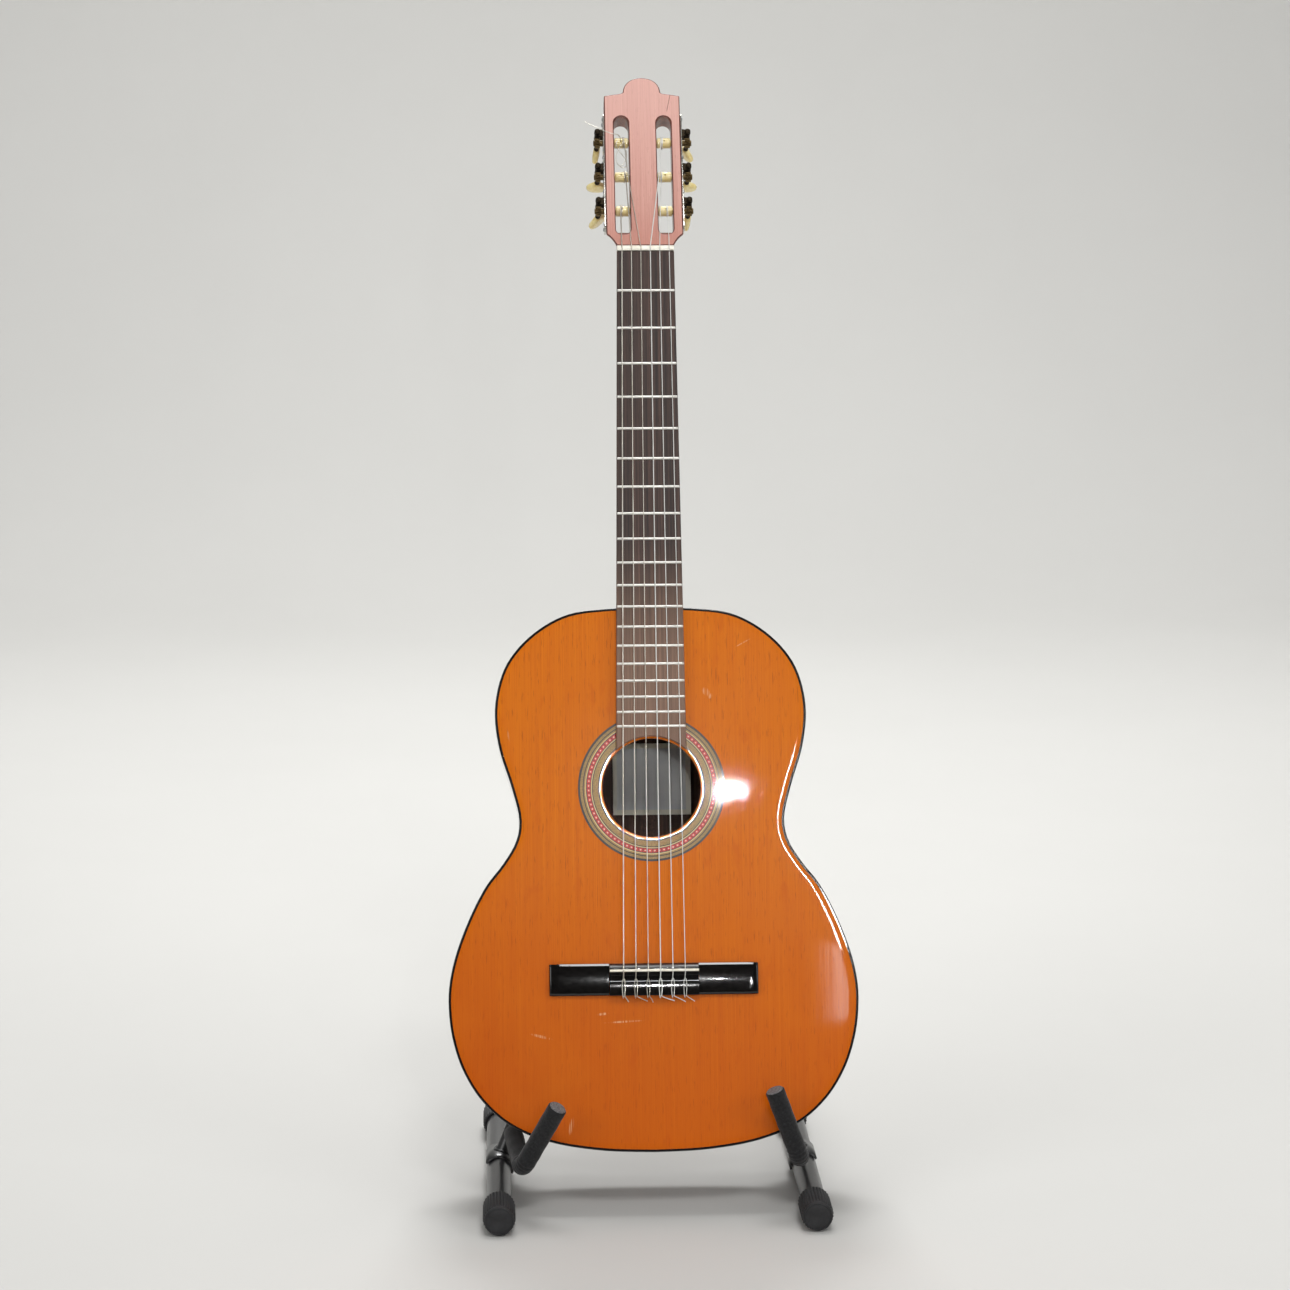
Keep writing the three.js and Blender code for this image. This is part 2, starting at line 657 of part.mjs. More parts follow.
// One side plate with its two bearing lugs for each worm, for the right-hand side.
function makePlate() {
  const pieces = [block([plateInner, plateOuter], [PLATE_LOW, PLATE_HIGH], [-17.5, -0.8])];
  const cutters = [];
  for (const height of rollerHeights) {
    for (const side of [-1, 1]) {
      const z = ROLLER_Z + side * lugReach;
      pieces.push(block(
        [plateInner + 0.2, WORM_X + 2.9],
        [height + WORM_RISE - 3.2, height + WORM_RISE + 3.2],
        [z - 0.8, z + 0.8],
      ));
    }
    const shaftHole = new THREE.CylinderGeometry(WORM_SHAFT_RADIUS + GAP, WORM_SHAFT_RADIUS + GAP, 20, 12);
    cutters.push(shaftHole.rotateX(PI / 2).translate(WORM_X, height + WORM_RISE, ROLLER_Z));
    cutters.push(rodAlongX(AXLE_RADIUS + GAP, plateInner - 1, plateOuter + 1, 12)
      .translate(0, height, ROLLER_Z));
  }
  return carved(pieces, cutters);
}

// String roller, its axle and its gear, along +x from the inner bearing outwards.
function makeRoller() {
  const gear = new THREE.Shape();
  for (let tooth = 0; tooth < GEAR_TEETH; tooth += 1) {
    const corners = [[GEAR_ROOT_RADIUS, 0], [GEAR_TIP_RADIUS, 0.3], [GEAR_TIP_RADIUS, 0.7]];
    corners.forEach(([radius, phase], k) => {
      const angle = ((tooth + phase) * 2 * PI) / GEAR_TEETH;
      const point = [radius * cos(angle), radius * sin(angle)];
      if (tooth === 0 && k === 0) gear.moveTo(...point);
      else gear.lineTo(...point);
    });
  }
  gear.closePath();
  const wheel = new THREE.ExtrudeGeometry(gear, { depth: GEAR_THICKNESS, bevelEnabled: false })
    .rotateY(PI / 2)
    .translate(WORM_X - GEAR_THICKNESS / 2, 0, 0);
  const [axleInner, axleOuter] = [8.6, WORM_X + GEAR_THICKNESS / 2 + 1.2];
  const [barrelInner, barrelOuter] = [SLOT_INNER + 0.5, SLOT_OUTER - 0.5];
  const profile = [
    [0, axleInner], [AXLE_RADIUS, axleInner], [AXLE_RADIUS, barrelInner], [ROLLER_RADIUS, barrelInner],
    [ROLLER_RADIUS, barrelOuter], [AXLE_RADIUS, barrelOuter], [AXLE_RADIUS, axleOuter], [0, axleOuter],
  ];
  return carved([turned(profile, 12).rotateZ(-PI / 2), wheel]);
}

// Worm shaft along z: ball end at the front, worm between the lugs, collar before the button.
const BUTTON_FRONT = -26.5;
function makeWorm() {
  const shaft = WORM_SHAFT_RADIUS;
  const wormEnd = lugReach - 0.8 - GAP;
  const profile = [
    [0, BUTTON_FRONT + GAP], [2.4, BUTTON_FRONT + GAP], [2.4, BUTTON_FRONT + 2.5], [shaft, BUTTON_FRONT + 4],
    [shaft, -wormEnd], [WORM_RADIUS, -wormEnd], [WORM_RADIUS, wormEnd], [shaft, wormEnd],
    [shaft, lugReach + 1], [2.6, lugReach + 2.2], [2.6, lugReach + 3.6], [0, lugReach + 5],
  ];
  return turned(profile, 12).rotateX(PI / 2);
}

// Flat oval finger button whose length runs back along the shaft.
function makeButton() {
  const [halfWidth, length, thickness, bevel] = [8.6, 16, 3.6, 1.3];
  const neckHalf = 2.2;
  const widest = -length * 0.55;
  const backEnd = -length + bevel;
  const shape = new THREE.Shape();
  shape.moveTo(neckHalf, -bevel);
  shape.bezierCurveTo(4, -3, halfWidth, -2, halfWidth, widest);
  shape.quadraticCurveTo(halfWidth - 0.6, backEnd, 0, backEnd);
  shape.quadraticCurveTo(-halfWidth + 0.6, backEnd, -halfWidth, widest);
  shape.bezierCurveTo(-halfWidth, -2, -4, -3, -neckHalf, -bevel);
  shape.closePath();
  return new THREE.ExtrudeGeometry(shape, {
    depth: thickness, bevelThickness: bevel, bevelSize: bevel, bevelSegments: 1, curveSegments: 5,
  })
    .translate(0, 0, -thickness / 2)
    .rotateX(PI / 2)
    .translate(0, 0, BUTTON_FRONT);
}

// Resting turn of each button about its shaft, low machine first.
const BUTTON_TURNS = { left: [40, 0, 80], right: [80, 0, -50] };

for (const [sideName, side] of [['left', -1], ['right', 1]]) {
  const mirrorTurn = side < 0 ? PI : 0;
  const plate = add(head, `tuner_plate_${sideName}`, makePlate(), LOOKS.plate);
  if (side < 0) {
    // A half turn about the head's length, moved so that the plate keeps its depth.
    plate.rotation.y = PI;
    plate.position.z = 2 * ROLLER_Z;
  }
  rollerHeights.forEach((height, k) => {
    const place = `${sideName}_${k + 1}`;
    const roller = add(head, `string_roller_${place}`, makeRoller(), LOOKS.ivory);
    roller.rotation.y = mirrorTurn;
    roller.position.set(0, height, ROLLER_Z);
    const wormPlace = [side * WORM_X, height + WORM_RISE, ROLLER_Z];
    add(head, `worm_shaft_${place}`, makeWorm(), LOOKS.worm).position.set(...wormPlace);
    const button = add(head, `tuner_button_${place}`, makeButton(), LOOKS.ivory);
    button.position.set(...wormPlace);
    button.rotation.z = degrees(BUTTON_TURNS[sideName][k]);
  });
}

// ---------------------------------------------------------------- strings

// Where each string meets its roller: [sideways place, roller number], lowest string first.
const ROLLER_ENDS = [[-21.6, 0], [-16.2, 1], [-17.2, 2], [17.2, 2], [16.2, 1], [21.6, 0]];
const fromHead = (x, y, z) =>
  v3(x, y, z).applyAxisAngle(v3(1, 0, 0), -HEAD_TILT).add(v3(0, HEAD_ORIGIN_Y, HEAD_ORIGIN_Z));

STRING_RADII.forEach((radius, i) => {
  const saddleX = stringX(i, STRING_SPACING_SADDLE);
  const nutX = stringX(i, STRING_SPACING_NUT);
  const [endX, rollerNumber] = ROLLER_ENDS[i];
  const points = [
    v3(saddleX, 137.5, TIE_HOLE_Z),
    v3(saddleX, 153.1, TIE_HOLE_Z),
    v3(saddleX, 159.4, SADDLE_TOP + 0.75),
    v3(saddleX, SADDLE_Y, SADDLE_TOP + 0.35 + radius),
    v3(nutX, NUT_Y + 1, NUT_TOP + GAP + radius),
    v3(nutX, NUT_Y + 4.6, NUT_TOP + GAP + radius),
  ];
  // The two middle strings pass over the rim of their slot on the way to the top rollers.
  if (rollerNumber === 2) points.push(fromHead(Math.sign(endX) * 13.9, 74, 0.5 + radius));
  const rollerTop = ROLLER_Z + ROLLER_RADIUS + GAP + radius;
  points.push(fromHead(endX, rollerHeights[rollerNumber], rollerTop));
  add(guitar, `string_${i + 1}`, bar(points, radius, 8), i < 3 ? LOOKS.wound : LOOKS.string);
});

// ---------------------------------------------------------------- stand

const hingeZ = CAP_RADIUS + (FOOT_X * cos(FRAME_TILT) - HINGE_OFFSET) / sin(FRAME_TILT);
const hingeY = (UPRIGHT_LENGTH_Z + 12) * tan(UPRIGHT_LEAN);

// Rubber cap: a cup over the tube's end with its disc at -y, one flat of its rim facing down.
function makeCap() {
  const segments = 24;
  const outer = CAP_RADIUS / cos(PI / segments);
  const inner = FOOT_RADIUS + GAP;
  const profile = [
    [0, 0], [outer - 2.5, 0], [outer, 2], [outer, CAP_LENGTH], [inner, CAP_LENGTH], [inner, CAP_DISC],
    [0, CAP_DISC],
  ];
  return turned(profile, segments).rotateY(PI / segments);
}

// Hollow floor tube along y.
function makeFootTube() {
  const wall = 1.6;
  const profile = [
    [FOOT_RADIUS - wall, -FOOT_HALF_LENGTH], [FOOT_RADIUS, -FOOT_HALF_LENGTH],
    [FOOT_RADIUS, FOOT_HALF_LENGTH], [FOOT_RADIUS - wall, FOOT_HALF_LENGTH],
    [FOOT_RADIUS - wall, -FOOT_HALF_LENGTH],
  ];
  return turned(profile, 20);
}

const uprightPoint = (z) => v3(0, z * tan(UPRIGHT_LEAN), z);

// Leaning upright with the curved saddle that holds it on the floor tube.
function makeUpright() {
  const post = bar([uprightPoint(0), uprightPoint(UPRIGHT_LENGTH_Z)], UPRIGHT_RADIUS, 16);
  const saddleHalf = 19;
  const saddle = rodAlongY(FOOT_RADIUS + 2.4, -saddleHalf, saddleHalf, 20);
  const lower = block([-20, 20], [-40, 40], [-30, 1.5]);
  const seat = rodAlongY(FOOT_RADIUS + GAP, -60, 60, 20);
  return carved([post, saddle], [lower, seat]);
}

// Centre line of the cradle arm: forward from the upright, round the bend and up the prong.
function armLine(side, set, start, tipCut) {
  const level = (y) => ARM_REAR_Z + ((ARM_BEND_Z - ARM_REAR_Z) * y) / ARM_BEND_Y;
  const rear = v3(0, start, level(start));
  const corner = v3(0, ARM_BEND_Y, ARM_BEND_Z);
  const along = corner.clone().sub(rear).normalize();
  const up = v3(0, -sin(set.lean), cos(set.lean)).applyAxisAngle(v3(0, 1, 0), -side * set.inward);
  const turn = along.angleTo(up);
  const cut = BEND_RADIUS * tan(turn / 2);
  const bendStart = corner.clone().addScaledVector(along, -cut);
  const inward = up.clone().addScaledVector(along, -up.dot(along)).normalize();
  const centre = bendStart.clone().addScaledVector(inward, BEND_RADIUS);
  const points = [rear];
  const steps = 5;
  for (let i = 0; i <= steps; i += 1) {
    const angle = (turn * i) / steps;
    points.push(centre.clone()
      .addScaledVector(inward, -BEND_RADIUS * cos(angle))
      .addScaledVector(along, BEND_RADIUS * sin(angle)));
  }
  points.push(corner.clone().addScaledVector(up, PRONG_LENGTH - tipCut));
  const pivot = v3(0, ARM_REAR_Z * tan(UPRIGHT_LEAN), ARM_REAR_Z);
  return points.map((point) =>
    point.sub(pivot).applyAxisAngle(v3(0, 0, 1), -side * set.swing).add(pivot));
}

const armRoot = ARM_REAR_Z * tan(UPRIGHT_LEAN) - UPRIGHT_RADIUS - 0.6;
const TIP_COVER = 4; // foam over the end of the rod

function makeArm(side, set) {
  const rod = bar(armLine(side, set, armRoot + 4, TIP_COVER), ARM_ROD_RADIUS, 12);
  const postClear = bar([uprightPoint(0), uprightPoint(80)], UPRIGHT_RADIUS + GAP, 16);
  return carved([rod], [postClear]);
}

function makeSleeve(side, set) {
  const outer = bar(armLine(side, set, armRoot - 4, 0), SLEEVE_RADIUS, 16);
  const bore = bar(armLine(side, set, armRoot + 8, TIP_COVER - GAP), ARM_ROD_RADIUS + GAP, 12);
  return carved([outer], [bore]);
}

function makeBackSleeve() {
  const ends = [uprightPoint(BACK_SLEEVE_LOW), uprightPoint(BACK_SLEEVE_HIGH)];
  const beyond = [uprightPoint(BACK_SLEEVE_LOW - 5), uprightPoint(BACK_SLEEVE_HIGH + 5)];
  return carved([bar(ends, BACK_SLEEVE_RADIUS, 16)], [bar(beyond, UPRIGHT_RADIUS + GAP, 16)]);
}

// Hinge lug welded to the inner side of the upright; side is +1 on the right.
function makeLug(side) {
  const eye = v2(-side * HINGE_OFFSET, (hingeZ - CAP_RADIUS) * cos(FRAME_TILT) + FOOT_X * sin(FRAME_TILT));
  const weld = v2(-side * 2, UPRIGHT_LENGTH_Z - 7);
  const away = weld.clone().sub(eye);
  const heading = Math.atan2(away.y, away.x);
  const shape = new THREE.Shape();
  const [eyeRadius, weldRadius] = [HINGE_EYE_RADIUS, 5.5];
  shape.absarc(eye.x, eye.y, eyeRadius, heading + PI / 2, heading + (3 * PI) / 2, false);
  shape.absarc(weld.x, weld.y, weldRadius, heading - PI / 2, heading + PI / 2, false);
  shape.closePath();
  shape.holes.push(circlePath(eye.x, eye.y, HINGE_PIN_RADIUS + GAP));
  const faceNear = side > 0 ? hingeY + GAP : hingeY - GAP - LUG_THICKNESS;
  // The outline is drawn as (x, z) and given its thickness along y.
  const plate = new THREE.ExtrudeGeometry(shape, { depth: LUG_THICKNESS, bevelEnabled: false, curveSegments: 8 })
    .rotateX(PI / 2)
    .translate(0, faceNear + LUG_THICKNESS, 0);
  const postClear = bar(
    [uprightPoint(250), uprightPoint(UPRIGHT_LENGTH_Z + GAP)],
    UPRIGHT_RADIUS + GAP,
    16,
  );
  return carved([plate], [postClear]);
}

function makeRivet() {
  const reach = LUG_THICKNESS + 2 * GAP;
  const profile = [
    [0, -reach - 3], [4.5, -reach - 3], [7, -reach - 1.5], [7, -reach], [HINGE_PIN_RADIUS, -reach],
    [HINGE_PIN_RADIUS, reach], [7, reach], [7, reach + 1.5], [4.5, reach + 3], [0, reach + 3],
  ];
  return turned(profile, 16);
}

for (const [sideName, side] of [['left', -1], ['right', 1]]) {
  const set = ARM_SETS[sideName];
  const footing = new THREE.Group();
  footing.position.set(side * FOOT_X, 0, CAP_RADIUS);
  guitarOnStand.add(footing);
  add(footing, `floor_tube_${sideName}`, makeFootTube(), LOOKS.tube);
  const capPlace = FOOT_HALF_LENGTH + GAP + CAP_DISC;
  add(footing, `floor_cap_front_${sideName}`, makeCap(), LOOKS.rubber).position.y = -capPlace;
  const rearCap = add(footing, `floor_cap_rear_${sideName}`, makeCap(), LOOKS.rubber);
  rearCap.position.y = capPlace;
  rearCap.rotation.z = PI;

  const sideFrame = new THREE.Group();
  sideFrame.rotation.y = -side * FRAME_TILT;
  footing.add(sideFrame);
  add(sideFrame, `upright_${sideName}`, makeUpright(), LOOKS.paint);
  add(sideFrame, `cradle_arm_${sideName}`, makeArm(side, set), LOOKS.paint);
  add(sideFrame, `cradle_sleeve_${sideName}`, makeSleeve(side, set), LOOKS.foam);
  add(sideFrame, `back_sleeve_${sideName}`, makeBackSleeve(), LOOKS.foam);
  add(sideFrame, `hinge_lug_${sideName}`, makeLug(side), LOOKS.paint);
}

add(guitarOnStand, 'hinge_rivet', makeRivet(), LOOKS.steel).position.set(0, hingeY, hingeZ);

export default guitarOnStand;
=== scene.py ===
"""A classical guitar resting in a folding floor stand: fine meshes and materials around the CAD frame."""

import bmesh
import bpy
import random
from math import acos, atan2, copysign, cos, pi, radians, sin, sqrt, tan
from mathutils import Matrix, Vector


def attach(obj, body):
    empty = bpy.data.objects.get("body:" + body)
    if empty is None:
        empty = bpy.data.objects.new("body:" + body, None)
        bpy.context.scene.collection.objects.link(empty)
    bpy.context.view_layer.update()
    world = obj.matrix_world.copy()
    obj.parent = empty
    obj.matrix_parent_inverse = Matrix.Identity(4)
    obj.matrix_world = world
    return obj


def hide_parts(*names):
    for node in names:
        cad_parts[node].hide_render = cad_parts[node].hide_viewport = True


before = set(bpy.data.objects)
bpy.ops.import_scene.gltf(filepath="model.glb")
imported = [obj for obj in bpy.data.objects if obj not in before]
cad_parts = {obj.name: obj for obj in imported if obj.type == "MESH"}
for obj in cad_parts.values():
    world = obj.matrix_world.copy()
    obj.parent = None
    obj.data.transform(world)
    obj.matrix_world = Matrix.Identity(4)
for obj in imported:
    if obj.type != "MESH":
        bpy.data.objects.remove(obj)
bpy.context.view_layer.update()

# ---------------------------------------------------------------- driving dimensions, in millimetres

MM = 0.001
ON_AXIS = 1e-3  # radius that stands for a point on a lathe's axis
SHARP = 35  # degrees
LEAN = radians(15.7)
FOOT_Y = -134.4
FOOT_Z = 57
BODY_LENGTH = 488
DEPTH_TAIL = 96
DEPTH_HEEL = 91
SCALE_LENGTH = 650
NUT_Y = BODY_LENGTH + SCALE_LENGTH / 2
NUT_HALF = 26
JOINT_HALF = 30
BOARD_TOP = 6.8
NUT_TOP = 8.7
HOLE_Y = 325
HOLE_R = 44.3
ROSETTE_IN = 46.9
ROSETTE_OUT = 66.2
MOSAIC_TILES = 84
TOP_THICK = 2.6
BINDING = 2.3
BINDING_DEEP = 6
BACK_THICK = 2.8
RIB_THICK = 2.6
SEAM = 0.05  # gap between glued parts
FLAT_FROM = 16  # the top is flat from this far inside its edge
KERF = 0.08  # share of a lining block that is cut away at each end
LABEL_X, LABEL_Y = (-32, 40), (304, 370)
LABEL_LIFTS = 28  # the sheet's right edge lifts from here on
LABEL_STEPS = 24
SADDLE_Y = 161.5
SADDLE_TOP = 14.2
BRIDGE_HALF = 93.5
BRIDGE_LOW = 139.3
BRIDGE_HIGH = 167.7
WING_CREST = 146
WING_FALL = 0.0041  # drop from the crest, over the square of the distance
CENTRE_HALF = 40
STRING_RADII = [0.55, 0.46, 0.38, 0.5, 0.41, 0.36]
NUT_SPACING = 8.6
SADDLE_SPACING = 11
HEAD_TILT = radians(15)
HEAD_Y = NUT_Y + 0.2
HEAD_Z = 4.42
HEAD_HALF = 35
HEAD_THICK = 20
VENEER = 2.2
SLOT_IN = 12.8
SLOT_OUT = 26.4
SLOT_LOW = 17.8
SLOT_HIGH = 138.5
ROLLER_HEIGHTS = [45, 80, 115]
ROLLER_Z = -9
ROLLER_R = 4.8
WORM_X = 41.6
WORM_RISE = 7.6
BUTTON_FRONT = -26.5
FOOT_X = 140
TUBE_R = 11
TUBE_HALF = 151
CAP_R = 14.5
CAP_LONG = 43
CAP_DISC = 3.7
CAP_RIBS = 30
RIB_RISE = 1.05
SHIFT_Y = -35.4
FRAME_TILT = radians(23)
POST_LEAN = radians(14.2)
POST_R = 7.5
POST_TOP = 326
PAD_LOW = 214
PAD_HIGH = 286
HINGE_OFFSET = 8.5
ARM_REAR_Z = 32.6
ARM_BEND_Z = 37
ARM_BEND_Y = -105
ROD_R = 5
SLEEVE_R = 8.8
PRONG = 71
BEND_R = 15
ARM_SETS = {"left": (3.6, 14.8, 3.0), "right": (-1.8, 5.0, -3.0)}
SIDES = {"left": -1, "right": 1}

HALF_OUTLINE = [
    (0, 488), (40, 486.8), (72, 482.5), (98, 470), (120, 450.5), (134, 427), (140.3, 395),
    (136.5, 361), (126, 327), (119.2, 298), (122.5, 277), (134.5, 257), (149, 238.5), (162.3, 214),
    (174.5, 184), (181.5, 158), (183.6, 134), (180.5, 104), (170.5, 73), (152.5, 45), (126, 23),
    (90, 9), (45, 1.8), (0, 0),
]


def placed(x, y, z):
    return Matrix.Translation(Vector((x, y, z)) * MM)


GUITAR = placed(0, FOOT_Y, FOOT_Z) @ Matrix.Rotation(pi / 2 - LEAN, 4, "X")
HEAD = GUITAR @ placed(0, HEAD_Y, HEAD_Z) @ Matrix.Rotation(-HEAD_TILT, 4, "X")
FOOT = {s: placed(n * FOOT_X, SHIFT_Y, CAP_R) for s, n in SIDES.items()}
SIDE = {s: FOOT[s] @ Matrix.Rotation(-n * FRAME_TILT, 4, "Y") for s, n in SIDES.items()}

# ---------------------------------------------------------------- mesh helpers: a part is (points, faces)


def merged(*parts):
    points, faces = [], []
    for part_points, part_faces in parts:
        start = len(points)
        points += part_points
        faces += [tuple(i + start for i in face) for face in part_faces]
    return points, faces


def moved(part, x=0, y=0, z=0, turn=None):
    matrix = Matrix.Translation((x, y, z))
    if turn:
        matrix = matrix @ turn
    return [matrix @ Vector(p) for p in part[0]], part[1]


def turn(axis, angle):
    return Matrix.Rotation(angle, 4, axis)


def skin(rings, loop=False):
    """Quads through equal rings of points; loop joins the last ring to the first."""
    count = len(rings[0])
    points = [Vector(p) for ring in rings for p in ring]
    faces = []
    for k in range(len(rings) if loop else len(rings) - 1):
        a, b = k * count, ((k + 1) % len(rings)) * count
        for i in range(count):
            j = (i + 1) % count
            faces.append((a + i, a + j, b + j, b + i))
    if not loop:
        faces.append(tuple(reversed(range(count))))
        faces.append(tuple(range(len(points) - count, len(points))))
    return points, faces


def whole_turn(count):
    """Angles at even steps round a circle."""
    return [2 * pi * i / count for i in range(count)]


def circle(radius, height, count):
    """A ring of points about the y axis."""
    return [(radius * sin(a), height, radius * cos(a)) for a in whole_turn(count)]


def lathe(profile, segments):
    """Turned about the y axis from [radius, height] pairs; a closed ring if no end is on the axis."""
    rings = [circle(max(radius, ON_AXIS), height, segments) for radius, height in profile]
    return skin(rings, loop=profile[0][0] > 0 and profile[-1][0] > 0)


def bar(points, radius, sides):
    """A round bar along points; radius is a number or one number per point."""
    points = [Vector(p) for p in points]
    radii = radius if isinstance(radius, list) else [radius] * len(points)
    last = len(points) - 1
    normal = None
    rings = []
    for i, point in enumerate(points):
        tangent = (points[min(i + 1, last)] - points[max(i - 1, 0)]).normalized()
        if normal is None:
            normal = Vector((0, 0, 1)) if abs(tangent.x) > 0.9 else Vector((1, 0, 0))
        binormal = tangent.cross(normal).normalized()
        normal = binormal.cross(tangent).normalized()
        angles = [2 * pi * (j + 0.5) / sides for j in range(sides)]
        rings.append([point + radii[i] * (normal * cos(a) + binormal * sin(a)) for a in angles])
    return skin(rings)


def end_edge(end, inwards, radius, edge, angles):
    """Centres and radii that round off the edge at a bar's end; angle 0 is on the end face."""
    centres = [end + inwards * edge * (1 - cos(a)) for a in angles]
    return centres, [radius - edge * (1 - sin(a)) for a in angles]


def domed(points, radius, sides, edge):
    """A bar with its last end's edge rounded off."""
    inwards = (points[-2] - points[-1]).normalized()
    angles = [share * pi / 2 for share in (1, 0.65, 0.3, 0)]
    centres, radii = end_edge(points[-1], inwards, radius, edge, angles)
    return bar(points[:-1] + centres, [radius] * (len(points) - 1) + radii, sides)


def prism(outline, low, high):
    """An outline of (x, y) points pulled from z low to z high."""
    return skin([[(x, y, z) for x, y in outline] for z in (low, high)])


def box(x, y, z):
    """A block between the two ends given for x, y and z."""
    return prism([(x[0], y[0]), (x[1], y[0]), (x[1], y[1]), (x[0], y[1])], *z)


def across(outline, low, high):
    """A (y, z) outline pulled along x."""
    return skin([[(x, y, z) for y, z in outline] for x in (low, high)])


def arc(x, y, radius, start, end, steps):
    angles = [start + (end - start) * i / steps for i in range(steps + 1)]
    return [(x + radius * cos(a), y + radius * sin(a)) for a in angles]


def curve(a, b, c, d, steps):
    """Points of a cubic Bezier, without its first point."""
    a, b, c, d = (Vector(p) for p in (a, b, c, d))
    out = []
    for i in range(1, steps + 1):
        t = i / steps
        s = 1 - t
        out.append(tuple(a * s**3 + b * 3 * s * s * t + c * 3 * s * t * t + d * t**3))
    return out


def smooth(points, steps):
    """Catmull-Rom curve through points."""
    points = [Vector(p) for p in points]
    out = []
    for i in range(len(points) - 1):
        a, b, c, d = (points[max(i - 1, 0)], points[i], points[i + 1], points[min(i + 2, len(points) - 1)])
        for k in range(steps):
            t = k / steps
            out.append(0.5 * (b * 2 + (c - a) * t + (a * 2 - b * 5 + c * 4 - d) * t * t
                              + (b * 3 - a - c * 3 + d) * t**3))
    return out + [points[-1]]


def power(value, exponent):
    """A power that keeps the sign of its base."""
    return copysign(abs(value) ** exponent, value)


def tipped(along):
    """Turns the y axis to a direction."""
    return Vector((0, 1, 0)).rotation_difference(along).to_matrix().to_4x4()


def build(name, part, place, material, edge=SHARP):
    """A mesh object from a part in millimetres; edges sharper than the angle stay sharp."""
    mesh = bpy.data.meshes.new(name)
    mesh.from_pydata([Vector(p) * MM for p in part[0]], [], part[1])
    mesh.validate()
    solid = bmesh.new()
    solid.from_mesh(mesh)
    bmesh.ops.recalc_face_normals(solid, faces=solid.faces)
    solid.to_mesh(mesh)
    solid.free()
    obj = bpy.data.objects.new(name, mesh)
    bpy.context.scene.collection.objects.link(obj)
    obj.matrix_world = place
    if material:
        mesh.materials.append(material)
    mesh.shade_smooth()
    mesh.set_sharp_from_angle(angle=radians(edge))
    return obj


def bevelled(obj, width, segments=2, angle=40, edge=None):
    modifier = obj.modifiers.new("edges", "BEVEL")
    if edge:
        obj.data.materials.append(edge)
        modifier.material = 1
        modifier.use_clamp_overlap = False
    modifier.width = width * MM
    modifier.segments = segments
    modifier.limit_method = "ANGLE"
    modifier.angle_limit = radians(angle)
    modifier.harden_normals = True
    return obj


def fixed(obj):
    """Turns the object's modifiers into its mesh."""
    bpy.context.view_layer.update()
    graph = bpy.context.evaluated_depsgraph_get()
    mesh = bpy.data.meshes.new_from_object(obj.evaluated_get(graph))
    obj.modifiers.clear()
    obj.data = mesh
    return obj


def carved(obj, cutters):
    for part in cutters:
        cutter = build("cutter", part, obj.matrix_world, None)
        modifier = obj.modifiers.new("cut", "BOOLEAN")
        modifier.operation = "DIFFERENCE"
        modifier.solver = "EXACT"
        modifier.object = cutter
        fixed(obj)
        bpy.data.objects.remove(cutter)
    obj.data.shade_smooth()
    obj.data.set_sharp_from_angle(angle=radians(SHARP))
    return obj


def settle(obj, body, slot, *nodes):
    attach(obj, body)
    if nodes:
        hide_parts(*nodes)
    return obj


# ---------------------------------------------------------------- material helper


